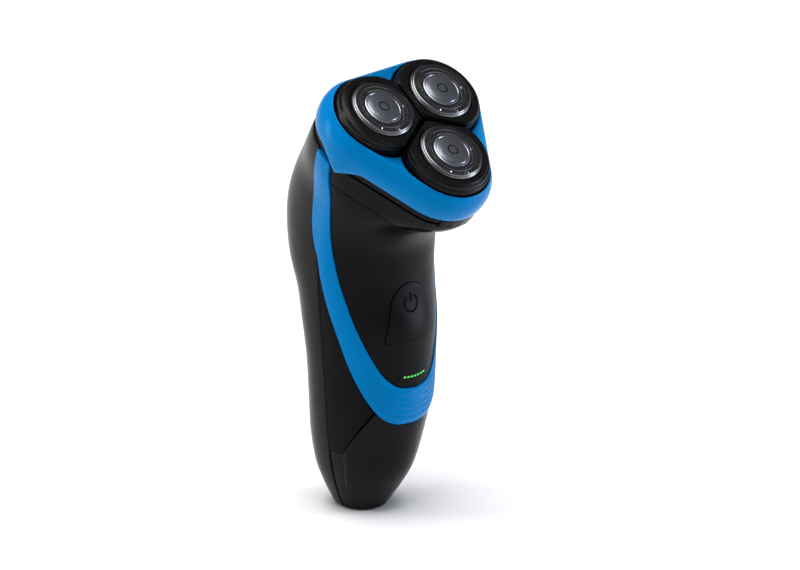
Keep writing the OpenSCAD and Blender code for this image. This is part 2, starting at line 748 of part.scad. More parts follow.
// The blue ring: a rounded-triangle shell with a tip that hangs down at each side
module head_ring() {
    count = 60;
    levels = [[ring_floor, -1.3], [-14, -0.3], [-11.5, 0], [-8.4, -0.5], [-6.2, -1.6], [-5, -2.9]];
    function dip(a) = max(0, 1 - min(abs(a - 178), abs(a - 2), abs(a - 362)) / 16);
    n = len(levels);
    color([0.05, 0.5, 0.85])
    on_face() difference() {
        union() {
            polyhedron(convexity = 6,
                points = concat([for (l = levels, k = [0:count - 1]) let (a = 360 * k / count)
                        concat(tri_point(a, ring_r + l[1]), l[0] - (l[0] == ring_floor ? 5.5 * dip(a) : 0))],
                    [[0, 0, ring_floor], [0, 0, levels[n - 1][0]]]),
                faces = concat(
                    [for (i = [0:n - 2], k = [0:count - 1]) let (m = (k + 1) % count) each
                        [[i * count + k, (i + 1) * count + k, (i + 1) * count + m],
                         [i * count + k, (i + 1) * count + m, i * count + m]]],
                    [for (k = [0:count - 1]) let (m = (k + 1) % count) each
                        [[n * count, k, m], [n * count + 1, (n - 1) * count + m, (n - 1) * count + k]]]));
            for (side = [-1, 1])
                translate([side * 7.5 - 2.5, hinge_y, hinge_z]) rotate([0, 90, 0]) {
                    cylinder(r = 1.9, h = 5);
                    translate([-3.4, -1.9, 0]) cube([3.4, 3.8, 5]);
                }
        }
        for (dir = [dir_left, dir_right, dir_front])
            translate([head_r * cos(dir), head_r * sin(dir), ring_floor - 10])
                cylinder(r = lobe_r + lobe_room, h = 30);
        translate([0, 0, ring_floor - 9]) linear_extrude(9) polygon([for (a = [0:6:354]) tri_point(a, neck_r + 0.35)]);
        translate([-20, hinge_y, hinge_z]) rotate([0, 90, 0]) cylinder(r = pin_r + run_fit, h = 40);
        translate([-4.4, hinge_y - 4, hinge_z - 3]) cube([8.8, 8, 5.4]);
    }
}

module hinge_pin() {
    color("silver")
    on_face() translate([-10, hinge_y, hinge_z]) rotate([0, 90, 0]) cylinder(r = pin_r, h = 20);
}

// Frame that holds the cutters up from below, with three arms to the ring
module retaining_frame() {
    color([0.15, 0.15, 0.16])
    on_face() difference() {
        union() {
            translate([0, 0, -11.6]) linear_extrude(1.4) intersection() {
                union() for (dir = [dir_left, dir_right, dir_front])
                    translate([head_r * cos(dir), head_r * sin(dir)]) circle(r = lobe_r + lobe_room);
                circle(r = head_r + lobe_r + lobe_room);
            }
        }
        for (dir = [dir_left, dir_right, dir_front])
            translate([head_r * cos(dir), head_r * sin(dir), -13]) cylinder(r = 7.4, h = 5);
        translate([0, 0, -13]) cylinder(r = 2 + run_fit, h = 5);
    }
}

module lock_knob() {
    color([0.35, 0.36, 0.38])
    on_face() {
        translate([0, 0, -13.4]) cylinder(r = 5, h = 1.6);
        translate([-4.6, -0.7, -15.4]) cube([9.2, 1.4, 2.2]);
        translate([0, 0, -12]) cylinder(r = 2, h = 2.4);
    }
}

// Plan of a lobe: the round plate about its head, clipped to its third of the face
module lobe_plan(dir, r) {
    start = lobe_gap / 2 / sin(60);
    reach = 60;
    intersection() {
        translate([head_r * cos(dir), head_r * sin(dir)]) circle(r = r);
        translate([start * cos(dir), start * sin(dir)])
            polygon([[0, 0], [reach * cos(dir - 60), reach * sin(dir - 60)],
                [2 * reach * cos(dir), 2 * reach * sin(dir)], [reach * cos(dir + 60), reach * sin(dir + 60)]]);
    }
}

module lobe(dir) {
    color([0.03, 0.03, 0.035])
    on_face() difference() {
        union() {
            translate([0, 0, lobe_floor]) linear_extrude(3.4) lobe_plan(dir, lobe_r);
            translate([0, 0, lobe_floor]) linear_extrude(lobe_top - lobe_floor - 1.2) lobe_plan(dir, lobe_r - 0.9);
            translate([0, 0, lobe_floor]) linear_extrude(lobe_top - lobe_floor) lobe_plan(dir, lobe_r - 2.3);
        }
        translate([head_r * cos(dir), head_r * sin(dir), lobe_floor - 1]) cylinder(r = cap_r - 0.9, h = 20);
        translate([head_r * cos(dir), head_r * sin(dir), -4.2]) cylinder(r = cap_r + 0.1, h = 20);
    }
}
module lobe_left() { lobe(dir_left); }
module lobe_right() { lobe(dir_right); }
module lobe_front() { lobe(dir_front); }

// A slotted cap: an outer wall, a shaving track and an inner guide wall
module cap(dir) {
    color([0.55, 0.56, 0.58])
    on_head(dir) rotate_extrude()
        polygon([[cap_r, -4.2], [cap_r, -1.2], [cap_r - 0.5, -0.35], [cap_r - 1, 0], [dome_r + 0.4, 0],
            [dome_r + 0.05, -0.4], [dome_r + 0.05, -1.9], [dome_r + 0.5, -1.9], [dome_r + 0.5, -0.5],
            [cap_r - 1.2, -0.5], [cap_r - 0.55, -1.2], [cap_r - 0.55, -3.8], [cap_r - 0.9, -4.2]]);
}
module cap_left() { cap(dir_left); }
module cap_right() { cap(dir_right); }
module cap_front() { cap(dir_front); }

module dome(dir) {
    color([0.75, 0.76, 0.78])
    on_head(dir) rotate_extrude()
        polygon([[0, -1.2], [dome_r, -1.2], [dome_r, -0.1], [dome_r - 1.2, 0.35], [dome_r - 3, 0.55], [0, 0.6]]);
}
module dome_left() { dome(dir_left); }
module dome_right() { dome(dir_right); }
module dome_front() { dome(dir_front); }

// A rotary cutter: a ring of raked blades on a carrier with a tapered socket for the spindle
module cutter(dir) {
    track = (cap_r - 0.9 + dome_r + 0.9) / 2;
    blade_w = cap_r - dome_r - 2.6;
    color([0.7, 0.71, 0.73])
    on_head(dir) {
        difference() {
            union() {
                translate([0, 0, -4.6]) cylinder(r = track + blade_w / 2, h = 1);
                translate([0, 0, socket_mouth]) cylinder(r = 4, h = 3.4);
            }
            translate([0, 0, socket_mouth - 0.01]) cylinder(r1 = 3.3, r2 = 2.4, h = 1.9);
        }
        for (k = [0:blade_count - 1])
            rotate(360 * k / blade_count) translate([track, 0, -3.8]) rotate([24, 0, 0])
                translate([-blade_w / 2, -0.3, 0]) cube([blade_w, 0.6, 3]);
    }
}
module cutter_left() { cutter(dir_left); }
module cutter_right() { cutter(dir_right); }
module cutter_front() { cutter(dir_front); }

rear_shell();
lower_shell();
side_grip_left();
side_grip_right();
blue_band();
front_panel();
neck_collar();
top_plate();
chassis();
motor_plate();
motor();
pinion();
cell();
cell_tabs();
circuit_board();
power_switch();
charge_lights();
display_lens();
base_cap();
charging_socket();
charge_pins();
neck_seal();
screws();
hinge_pin();
release_button();
release_spring();
power_button();
trimmer_slide();
trimmer_arm();
trimmer_comb();
trimmer_blade();
trimmer_pin();
head_ring();
retaining_frame();
lock_knob();
lobe_left();
lobe_right();
lobe_front();
cap_left();
cap_right();
cap_front();
dome_left();
dome_right();
dome_front();
cutter_left();
cutter_right();
cutter_front();
spindle_left();
spindle_right();
spindle_front();
gear_left();
gear_right();
gear_front();
spring_left();
spring_right();
spring_front();
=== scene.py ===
import math

import bpy
from mathutils import Matrix, Vector


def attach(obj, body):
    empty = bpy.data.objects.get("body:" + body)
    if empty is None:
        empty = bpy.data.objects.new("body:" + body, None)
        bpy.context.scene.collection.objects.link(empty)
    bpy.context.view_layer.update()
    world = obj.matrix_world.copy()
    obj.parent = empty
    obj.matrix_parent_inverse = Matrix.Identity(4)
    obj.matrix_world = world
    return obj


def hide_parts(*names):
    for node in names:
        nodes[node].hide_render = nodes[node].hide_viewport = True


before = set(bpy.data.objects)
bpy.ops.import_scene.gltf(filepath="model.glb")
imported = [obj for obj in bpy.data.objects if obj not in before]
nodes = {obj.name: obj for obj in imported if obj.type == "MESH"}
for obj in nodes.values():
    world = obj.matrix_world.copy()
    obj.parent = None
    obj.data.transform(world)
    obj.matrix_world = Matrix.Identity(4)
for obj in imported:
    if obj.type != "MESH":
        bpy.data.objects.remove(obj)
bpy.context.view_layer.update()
mm = 0.001

# stations of the handle from the flat bottom to the neck, in mm:
# centre y, z, tilt, reach to the front, reach to the rear, half width
bodyStations = [
    (0, 0, 0, 9, 9, 9),
    (-0.3, 3.2, 0, 10.8, 10.4, 11),
    (-1, 8.5, 0, 13.9, 13.2, 13.6),
    (-1.8, 17, 0, 18.2, 16.8, 16.6),
    (-3, 29, 0, 20.6, 18.8, 19.3),
    (-4, 43, 0, 22.8, 19.3, 21.2),
    (-4.3, 58, 0, 22.8, 19.5, 22.6),
    (-4.3, 72, 0, 22.8, 21.2, 23.8),
    (-4.3, 84, 0, 20.5, 23.4, 24.6),
    (-4.5, 96, 6, 19.5, 29, 25.3),
    (-6, 110, 18, 20.5, 31.5, 26),
    (-13, 126, 28.8, 25.5, 30, 28),
    (-21.4, 138.5, 36, 34.35, 26.225, 30.67),
]
topStation = len(bodyStations) - 1

# the two edges of the blue band, as (station, angle from the front)
bandOuterEdge = [(4.6, 0), (4.68, 24), (5.05, 42), (6, 61), (7.4, 76), (9, 88), (10.5, 97),
                 (11.93, 109)]
bandInnerEdge = [(5.54, 0), (5.66, 20), (6.1, 36), (7.1, 52), (8.5, 63), (9.8, 73), (10.8, 85),
                 (11.93, 97)]
# front edge of the grips as (station, angle), top of the lower shell as (angle, station)
gripFrontEdge = [(3.7, 72), (4, 66), (4.55, 54), (5, 42), (6, 61), (7.4, 76), (8.6, 85), (9.1, 88)]
lowerTopEdge = [(0, 4.6), (12, 4.61), (24, 4.68), (34, 4.84), (41, 4.98), (54, 4.5), (66, 4), (72, 3.7),
                (90, 3.7)]
# the seam down each side as (station, angle)
rearSideEdge = [(0, 90), (9.3, 90), (10.5, 97), (11.93, 109), (12, 110)]

# the shaving face: three heads round its middle, tilted forward over the handle
face = {
    "tilt": 36,
    "headCircle": 16.25,
    "depth": 18.9,
    "lobe": 16.2,
    "lobeGap": 1.3,
    "lobeRoom": 0.7,
    "ringWall": 3.4,
    "ringOverNeck": 2.2,
    "cap": 11.8,
    "dome": 7.1,
}
headDirections = {"left": 150, "right": 30, "front": 270}
ringRadius = face["lobe"] + face["lobeRoom"] + face["ringWall"]
neckRadius = ringRadius - face["ringOverNeck"]
tiltAngle = math.radians(face["tilt"])
faceY = bodyStations[topStation][0] - face["depth"] * math.sin(tiltAngle)
faceZ = bodyStations[topStation][1] + face["depth"] * math.cos(tiltAngle)
faceMatrix = Matrix.Translation((0, faceY, faceZ)) @ Matrix.Rotation(tiltAngle, 4, "X")


def curveThrough(points, place):
    # smooth curve through the points, counted from 0
    last = len(points) - 1
    index = min(max(int(math.floor(place)), 0), last - 1)
    t = place - index
    b, c = points[index], points[index + 1]
    a = points[index - 1] if index > 0 else [2 * p - q for p, q in zip(b, c)]
    d = points[index + 2] if index + 2 <= last else [2 * q - p for p, q in zip(b, c)]
    return [0.5 * (2 * q + (r - p) * t + (2 * p - 5 * q + 4 * r - s) * t * t
                   + (3 * q - p - 3 * r + s) * t ** 3)
            for p, q, r, s in zip(a, b, c, d)]


def lineThrough(points, x):
    # straight-line lookup in a list of (x, value)
    for (x0, y0), (x1, y1) in zip(points, points[1:]):
        if x <= x1:
            break
    return y0 + (y1 - y0) * (x - x0) / (x1 - x0)


def smoothStep(x):
    x = min(max(x, 0), 1)
    return x * x * (3 - 2 * x)


def signedPower(x, power):
    return math.copysign(abs(x) ** power, x)


def triangleReach(angle, radius):
    # how far the rounded triangle round the three heads reaches, angle in degrees on the face
    circle = face["headCircle"]
    side = math.radians((angle - 90 + 60) % 120 - 60)
    flat = (circle / 2 + radius) / math.cos(side)
    if abs(flat * math.sin(side)) <= circle * math.cos(math.radians(30)):
        return flat
    corner = math.radians((angle - 30 + 60) % 120 - 60)
    return circle * math.cos(corner) + math.sqrt(radius ** 2 - (circle * math.sin(corner)) ** 2)


def skin(station, angle, lift=0.0):
    # a point of the handle's skin, raised by lift, in metres
    s = curveThrough(bodyStations, station)
    a = math.radians(angle)
    cosine, sine = math.cos(a), math.sin(a)
    squareness = 0.8 if cosine < 0 else 1
    reach = (s[4] if cosine < 0 else s[3]) + lift
    y = math.copysign(reach * abs(cosine) ** squareness, -cosine)
    x = (s[5] + lift) * signedPower(sine, squareness)
    blend = smoothStep((station - topStation + 1.4) / 1.4)
    if blend > 0:
        tri = triangleReach(angle - 90, neckRadius + lift)
        x += (tri * sine - x) * blend
        y += (-tri * cosine - y) * blend
    tilt = math.radians(s[2])
    return Vector((x, s[0] + y * math.cos(tilt), s[1] + y * math.sin(tilt))) * mm


def onFace(x, y, z):
    # a point given on the shaving face, in mm, to metres in the row frame
    return (faceMatrix @ Vector((x, y, z))) * mm


def headCentre(head):
    a = math.radians(headDirections[head])
    return face["headCircle"] * math.cos(a), face["headCircle"] * math.sin(a)


def deselectAll():
    if bpy.context.mode != "OBJECT":
        bpy.ops.object.mode_set(mode="OBJECT")
    bpy.ops.object.select_all(action="DESELECT")


def selectOnly(piece):
    deselectAll()
    piece.select_set(True)
    bpy.context.view_layer.objects.active = piece


def applyModifiers(piece):
    selectOnly(piece)
    for modifier in list(piece.modifiers):
        bpy.ops.object.modifier_apply(modifier=modifier.name)


def weldMesh(piece, distance=1e-6, outward=True):
    selectOnly(piece)
    bpy.ops.object.mode_set(mode="EDIT")
    bpy.ops.mesh.select_all(action="SELECT")
    bpy.ops.mesh.remove_doubles(threshold=distance)
    bpy.ops.mesh.dissolve_degenerate(threshold=distance)
    if outward:
        bpy.ops.mesh.normals_make_consistent(inside=False)
    bpy.ops.object.mode_set(mode="OBJECT")


def smoothByAngle(piece, degrees=35):
    selectOnly(piece)
    bpy.ops.object.shade_smooth_by_angle(angle=math.radians(degrees))


def wrapGrid(name, across, along, place):
    # a grid primitive whose every point is moved to place(s, t), with s and t from 0 to 1
    deselectAll()
    bpy.ops.mesh.primitive_grid_add(x_subdivisions=across, y_subdivisions=along, size=2)
    piece = bpy.context.object
    piece.name = name
    piece.data.name = name
    for vertex in piece.data.vertices:
        s = round((vertex.co.x + 1) / 2 * across) / across
        t = round((vertex.co.y + 1) / 2 * along) / along
        vertex.co = place(s, t)
    return piece


def addModifier(piece, kind, **settings):
    modifier = piece.modifiers.new(kind.title(), kind)
    for key, value in settings.items():
        setattr(modifier, key, value)
    return modifier


# a line up the middle of the handle, which the shells' outer sides face away from
sheetAxisY = -6


def sheetPiece(name, across, along, place, thickness, bevel=0.25, smooth=35, closed=False):
    # a shell: the grid wrapped over the skin, given its wall inwards and a soft edge
    piece = wrapGrid(name, across, along, place)
    weldMesh(piece, outward=False)
    middle = piece.data.polygons[len(piece.data.polygons) // 2]
    axis = Vector((0, sheetAxisY * mm, middle.center.z))
    if middle.normal.dot(middle.center - axis) < 0:
        piece.data.flip_normals()
    addModifier(piece, "SOLIDIFY", thickness=thickness * mm, offset=-1, use_even_offset=True)
    if bevel > 0:
        addModifier(piece, "BEVEL", width=bevel * mm, segments=2, limit_method="ANGLE",
                    angle_limit=math.radians(50))
    applyModifiers(piece)
    smoothByAngle(piece, smooth)
    return piece


def ringPiece(name, rings, sides, matrix, closedLoop=True, smooth=30):
    # a solid skinned over rings, each one a function from an angle to (radius, height)
    count = len(rings)
    along = count if closedLoop else count - 1

    def place(s, t):
        angle = 360 * (s % 1)
        radius, height = rings[round(t * along) % count](angle)
        a = math.radians(angle)
        return (matrix @ Vector((radius * math.cos(a), radius * math.sin(a), height))) * mm

    piece = wrapGrid(name, sides, along, place)
    weldMesh(piece)
    smoothByAngle(piece, smooth)
    return piece


def steady(radius, height):
    return lambda angle: (radius, height)


def cutAway(piece, cutters):
    for cutter in cutters:
        addModifier(piece, "BOOLEAN", object=cutter, operation="DIFFERENCE", solver="EXACT")
    applyModifiers(piece)
    for cutter in cutters:
        bpy.data.objects.remove(cutter)


def archHalfWidth(height, room=0.0):
    # half width of the power button's outline at a height above its middle
    arch = buttonValues
    radius = arch["archRadius"] + room
    foot = arch["halfWidth"] + room
    shoulder = arch["footTop"]
    rise = arch["archRise"]
    reach = math.hypot(foot, rise - shoulder)
    tangent = math.atan2(shoulder - rise, foot) + math.acos(radius / reach)
    touchX, touchZ = radius * math.cos(tangent), rise + radius * math.sin(tangent)
    if height <= shoulder:
        return foot
    if height < touchZ:
        return foot + (touchX - foot) * (height - shoulder) / (touchZ - shoulder)
    return math.sqrt(max(radius ** 2 - (height - rise) ** 2, 0))


def frontSpot(x, z):
    # the station and angle of the skin's point at x and z, on the front, in mm
    low, high = 4.0, 10.5
    angle = 0.0
    for _ in range(24):
        station = (low + high) / 2
        s = curveThrough(bodyStations, station)
        angle = math.degrees(math.asin(max(-1, min(1, x / s[5]))))
        height = s[1] - s[3] * math.cos(math.radians(angle)) * math.sin(math.radians(s[2]))
        if height < z:
            low = station
        else:
            high = station
    return station, angle


def prismOutline(name, points, y0, y1):
    # a prism along Y from an outline of (x, z) points, used to cut a window
    deselectAll()
    bpy.ops.mesh.primitive_circle_add(vertices=len(points), fill_type="NGON")
    prism = bpy.context.object
    prism.name = name
    for vertex, (x, z) in zip(prism.data.vertices, points):
        vertex.co = Vector((x, y0, z)) * mm
    bpy.ops.object.mode_set(mode="EDIT")
    bpy.ops.mesh.select_all(action="SELECT")
    bpy.ops.mesh.extrude_region_move(TRANSFORM_OT_translate={"value": (0, (y1 - y0) * mm, 0)})
    bpy.ops.mesh.select_all(action="SELECT")
    bpy.ops.mesh.normals_make_consistent(inside=False)
    bpy.ops.object.mode_set(mode="OBJECT")
    return prism


def roundedOutline(halfX, halfZ, corner, z, steps=8):
    # a rounded rectangle's (x, z) points, with its middle at height z
    points = []
    for quarter, (sx, sz) in enumerate(((1, 1), (-1, 1), (-1, -1), (1, -1))):
        for k in range(steps + 1):
            a = math.radians(90 * quarter + 90 * k / steps)
            points.append((sx * (halfX - corner) + corner * math.cos(a),
                           z + sz * (halfZ - corner) + corner * math.sin(a)))
    return points


def startMaterial(name):
    material = bpy.data.materials.new(name)
    material.use_nodes = True
    tree = material.node_tree
    shader = tree.nodes["Principled BSDF"]
    coords = tree.nodes.new("ShaderNodeTexCoord")
    return material, tree, shader, coords


def addBump(tree, shader, height, strength, distance):
    bump = tree.nodes.new("ShaderNodeBump")
    bump.inputs["Strength"].default_value = strength
    bump.inputs["Distance"].default_value = distance
    tree.links.new(height, bump.inputs["Height"])
    tree.links.new(bump.outputs["Normal"], shader.inputs["Normal"])


def mouldedPlastic(name, colour, rough, grain, depth, coat=0.0, spread=0.12, specular=0.5, tint=(1, 1, 1)):
    # moulded plastic: fine spark-eroded grain, faint handling marks in the gloss
    material, tree, shader, coords = startMaterial(name)
    fine = tree.nodes.new("ShaderNodeTexNoise")
    fine.inputs["Scale"].default_value = grain
    fine.inputs["Detail"].default_value = 4
    broad = tree.nodes.new("ShaderNodeTexNoise")
    broad.inputs["Scale"].default_value = 90
    broad.inputs["Detail"].default_value = 5
    shade = tree.nodes.new("ShaderNodeMix")
    shade.data_type = "RGBA"
    shade.inputs[6].default_value = (*[c * (1 - spread) for c in colour], 1)
    shade.inputs[7].default_value = (*[min(c * (1 + spread), 1) for c in colour], 1)
    gloss = tree.nodes.new("ShaderNodeMapRange")
    gloss.inputs["From Min"].default_value = 0.3
    gloss.inputs["From Max"].default_value = 0.7
    gloss.inputs["To Min"].default_value = rough * 0.85
    gloss.inputs["To Max"].default_value = rough * 1.15
    for noise in (fine, broad):
        tree.links.new(coords.outputs["Object"], noise.inputs["Vector"])
    tree.links.new(broad.outputs["Fac"], shade.inputs[0])
    tree.links.new(broad.outputs["Fac"], gloss.inputs["Value"])
    tree.links.new(shade.outputs[2], shader.inputs["Base Color"])
    tree.links.new(gloss.outputs["Result"], shader.inputs["Roughness"])
    addBump(tree, shader, fine.outputs["Fac"], 0.35, depth)
    shader.inputs["Coat Weight"].default_value = coat
    shader.inputs["Coat Roughness"].default_value = 0.08
    shader.inputs["Specular IOR Level"].default_value = specular
    shader.inputs["Specular Tint"].default_value = (*tint, 1)
    return material


def softRubber(name, colour):
    # soft-touch rubber: a close pebble grain and a dull sheen
    material, tree, shader, coords = startMaterial(name)
    cells = tree.nodes.new("ShaderNodeTexVoronoi")
    cells.inputs["Scale"].default_value = 1700
    tree.links.new(coords.outputs["Object"], cells.inputs["Vector"])
    addBump(tree, shader, cells.outputs["Distance"], 0.4, 0.00012)
    cloud = tree.nodes.new("ShaderNodeTexNoise")
    cloud.inputs["Scale"].default_value = 120
    ramp = tree.nodes.new("ShaderNodeMapRange")
    ramp.inputs["To Min"].default_value = 0.55
    ramp.inputs["To Max"].default_value = 0.72
    tree.links.new(coords.outputs["Object"], cloud.inputs["Vector"])
    tree.links.new(cloud.outputs["Fac"], ramp.inputs["Value"])
    tree.links.new(ramp.outputs["Result"], shader.inputs["Roughness"])
    shader.inputs["Base Color"].default_value = (*colour, 1)
    shader.inputs["Specular IOR Level"].default_value = 0.07
    return material


def brushedMetal(name, colour, rough, scale=(900, 900, 40), centre=None, turned=False):
    # brushed steel, or turned in circles round a head where centre and turned are given
    material, tree, shader, coords = startMaterial(name)
    mapping = tree.nodes.new("ShaderNodeMapping")
    if centre is not None:
        mapping.vector_type = "TEXTURE"
        mapping.inputs["Location"].default_value = centre
        mapping.inputs["Rotation"].default_value = (tiltAngle, 0, 0)
    tree.links.new(coords.outputs["Object"], mapping.inputs["Vector"])
    if turned:
        lines = tree.nodes.new("ShaderNodeTexWave")
        lines.wave_type = "RINGS"
        lines.rings_direction = "Z"
        lines.inputs["Scale"].default_value = 900
        lines.inputs["Distortion"].default_value = 1.5
        lines.inputs["Detail"].default_value = 3
        lines.inputs["Detail Scale"].default_value = 2
        tree.links.new(mapping.outputs["Vector"], lines.inputs["Vector"])
    else:
        stretch = tree.nodes.new("ShaderNodeMapping")
        stretch.inputs["Scale"].default_value = scale
        tree.links.new(mapping.outputs["Vector"], stretch.inputs["Vector"])
        lines = tree.nodes.new("ShaderNodeTexNoise")
        lines.inputs["Scale"].default_value = 1
        lines.inputs["Detail"].default_value = 6
        tree.links.new(stretch.outputs["Vector"], lines.inputs["Vector"])
    spread = tree.nodes.new("ShaderNodeMapRange")
    spread.inputs["To Min"].default_value = rough * 0.75
    spread.inputs["To Max"].default_value = rough * 1.3
    tree.links.new(lines.outputs["Fac"], spread.inputs["Value"])
    tree.links.new(spread.outputs["Result"], shader.inputs["Roughness"])
    addBump(tree, shader, lines.outputs["Fac"], 0.12, 0.00004)
    shader.inputs["Base Color"].default_value = (*colour, 1)
    shader.inputs["Metallic"].default_value = 1
    return material


def darkLens(name, colour):
    # smoked window with a few fingertip smudges
    material, tree, shader, coords = startMaterial(name)
    smudge = tree.nodes.new("ShaderNodeTexNoise")
    smudge.inputs["Scale"].default_value = 160
    spread = tree.nodes.new("ShaderNodeMapRange")
    spread.inputs["To Min"].default_value = 0.06
    spread.inputs["To Max"].default_value = 0.14
    tree.links.new(coords.outputs["Object"], smudge.inputs["Vector"])
    tree.links.new(smudge.outputs["Fac"], spread.inputs["Value"])
    tree.links.new(spread.outputs["Result"], shader.inputs["Roughness"])
    shader.inputs["Base Color"].default_value = (*colour, 1)
    shader.inputs["Specular IOR Level"].default_value = 0.08
    return material


def glowingMark(name, colour, strength):
    # a lit mark, a little uneven
    material, tree, shader, coords = startMaterial(name)
    glow = tree.nodes.new("ShaderNodeTexNoise")
    glow.inputs["Scale"].default_value = 700
    shade = tree.nodes.new("ShaderNodeMix")
    shade.data_type = "RGBA"
    shade.inputs[6].default_value = (*[c * 0.7 for c in colour], 1)
    shade.inputs[7].default_value = (*colour, 1)
    tree.links.new(coords.outputs["Object"], glow.inputs["Vector"])
    tree.links.new(glow.outputs["Fac"], shade.inputs[0])
    tree.links.new(shade.outputs[2], shader.inputs["Base Color"])
    tree.links.new(shade.outputs[2], shader.inputs["Emission Color"])
    shader.inputs["Emission Strength"].default_value = strength
    return material


finishes = {
    "glossBlack": mouldedPlastic("glossBlackPlastic", (0.0022, 0.0022, 0.003), 0.27, 1400, 0.00001,
                                 specular=0.09),
    "satinBlack": mouldedPlastic("satinBlackPlastic", (0.0025, 0.0025, 0.0034), 0.36, 2600, 0.00003,
                                 specular=0.07),
    "collarBlack": mouldedPlastic("collarBlackPlastic", (0.0024, 0.0022, 0.0029), 0.22, 900,
                                  0.00001, specular=0.09),
    "lobeBlack": mouldedPlastic("lobeBlackPlastic", (0.0035, 0.0032, 0.0036), 0.3, 1100, 0.00001,
                                specular=0.12),
    "innerBlack": mouldedPlastic("innerBlackPlastic", (0.004, 0.004, 0.005), 0.5, 1800, 0.00004,
                                 specular=0.08),
    "blue": mouldedPlastic("bluePlastic", (0.0, 0.15, 0.4), 0.26, 1500, 0.000012, specular=0.12,
                           spread=0.06, tint=(0.1, 0.75, 0.9)),
    "markBlack": mouldedPlastic("markBlackPrint", (0.0005, 0.0005, 0.0006), 0.6, 1800, 0.00001,
                                specular=0.02),
    "greyNylon": mouldedPlastic("greyNylon", (0.13, 0.13, 0.14), 0.5, 1500, 0.00004),
    "paleNylon": mouldedPlastic("paleNylon", (0.6, 0.6, 0.56), 0.42, 1500, 0.00003),
    "boardGreen": mouldedPlastic("boardLacquer", (0.015, 0.16, 0.06), 0.3, 700, 0.00003, coat=0.3),
    "cellWrap": mouldedPlastic("cellWrap", (0.05, 0.3, 0.2), 0.3, 600, 0.00002, coat=0.3),
    "rubber": softRubber("gripRubber", (0.0026, 0.0026, 0.003)),
    "seal": softRubber("sealRubber", (0.03, 0.03, 0.03)),
    "steel": brushedMetal("zincSteel", (0.6, 0.6, 0.62), 0.3),
    "spring": brushedMetal("springSteel", (0.68, 0.68, 0.7), 0.22, scale=(300, 300, 300)),
    "blade": brushedMetal("bladeSteel", (0.66, 0.67, 0.69), 0.2),
    "motorCan": brushedMetal("motorCan", (0.5, 0.5, 0.52), 0.32),
    "brass": brushedMetal("brassPinion", (0.78, 0.56, 0.24), 0.25),
    "nickel": brushedMetal("nickelContact", (0.72, 0.68, 0.58), 0.2),
    "lens": darkLens("smokedLens", (0.003, 0.004, 0.0035)),
    "glow": glowingMark("chargeGlow", (0.04, 0.55, 0.07), 0.9),
}
for head in headDirections:
    hx, hy = headCentre(head)
    spot = onFace(hx, hy, 0)
    finishes["dome" + head] = brushedMetal("turnedDome_" + head, (0.27, 0.28, 0.32), 0.26,
                                           centre=spot, turned=True)
    finishes["cap" + head] = brushedMetal("capSteel_" + head, (0.15, 0.15, 0.16), 0.26,
                                          centre=spot, turned=True)
print("materials ready")


def finishPiece(piece, material, body, slot, *replaced):
    piece.data.materials.clear()
    piece.data.materials.append(material)
    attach(piece, body)
    if replaced:
        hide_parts(*replaced)


wall = 2.0
# how far the shells stop short of the neck's top, as a share of a station
topGap = 0.03


def rearSpot(s, t):
    station = (topStation - topGap) * t
    edge = lineThrough(rearSideEdge, station) + 0.15
    return skin(station, edge + (360 - 2 * edge) * s)


rearValues = {"gap": 0.35, "cutFrom": 0, "cutTo": 50,
              "trimmer": {"half": 13.0, "low": 100.0, "high": 129.0, "corner": 3.35},
              "slide": {"half": 6.0, "low": 81.0, "high": 92.0, "corner": 0.8}}


def rearWindow(name):
    # cuts the opening for the trimmer or its slide
    values = rearValues[name]
    gap = rearValues["gap"]
    middle = (values["low"] + values["high"]) / 2
    tall = (values["high"] - values["low"]) / 2
    outline = roundedOutline(values["half"] + gap, tall + gap, values["corner"], middle)
    return prismOutline(name + "Window", outline, rearValues["cutFrom"], rearValues["cutTo"])


def buildRearShell():
    shell = sheetPiece("rearShell", 128, 150, rearSpot, wall, bevel=0.2)
    cutAway(shell, [rearWindow("trimmer"), rearWindow("slide"), hingeRoom()])
    smoothByAngle(shell, 32)
    finishPiece(shell, finishes["glossBlack"], "handle", "black_gloss", "rear_shell")


hingeValues = {"y": neckRadius + face["headCircle"] / 2 + 0.9, "z": -17.7,
               "roomX": 11.0, "roomY": 6.0, "roomZ": 3.4, "roomDeep": 14, "roomTall": 10,
               "knuckleRadius": 1.9, "knuckleLong": 5, "knuckleX": 7.5, "webTop": 3.2}


def faceBox(name, half, y, deep, z, tall):
    # a box square to the shaving face, from y and z upwards, used to cut
    deselectAll()
    bpy.ops.mesh.primitive_cube_add(size=1)
    box = bpy.context.object
    box.name = name
    for vertex in box.data.vertices:
        vertex.co = onFace(vertex.co.x * 2 * half, y + (vertex.co.y + 0.5) * deep,
                           z + (vertex.co.z + 0.5) * tall)
    return box


def hingeRoom():
    # the space that the hinge's knuckles need at the top of the rear shell
    values = hingeValues
    return faceBox("hingeRoom", values["roomX"], values["y"] - values["roomY"], values["roomDeep"],
                   values["z"] - values["roomZ"], values["roomTall"])


# the side seam's angle less half its gap
seamSide = 89.85
lowerValues = {"step": -0.4, "stepAngle": 70, "stepSpread": 2.2, "gap": 0.012}


def lowerSpot(s, t):
    values = lowerValues
    knots = [(0, -seamSide), (0.25, -41), (0.5, 0), (0.75, 41), (1, seamSide)]
    angle = lineThrough(knots, s)
    top = lineThrough(lowerTopEdge, abs(angle)) - values["gap"]
    # a shallow step down the side, where the shell turns under the grip
    step = values["step"] * smoothStep((abs(angle) - values["stepAngle"]) / values["stepSpread"])
    return skin(top * t, angle, step * smoothStep(t * 6))


gripValues = {"low": 3.72, "high": 9.05, "gap": 0.8, "lift": -0.05}


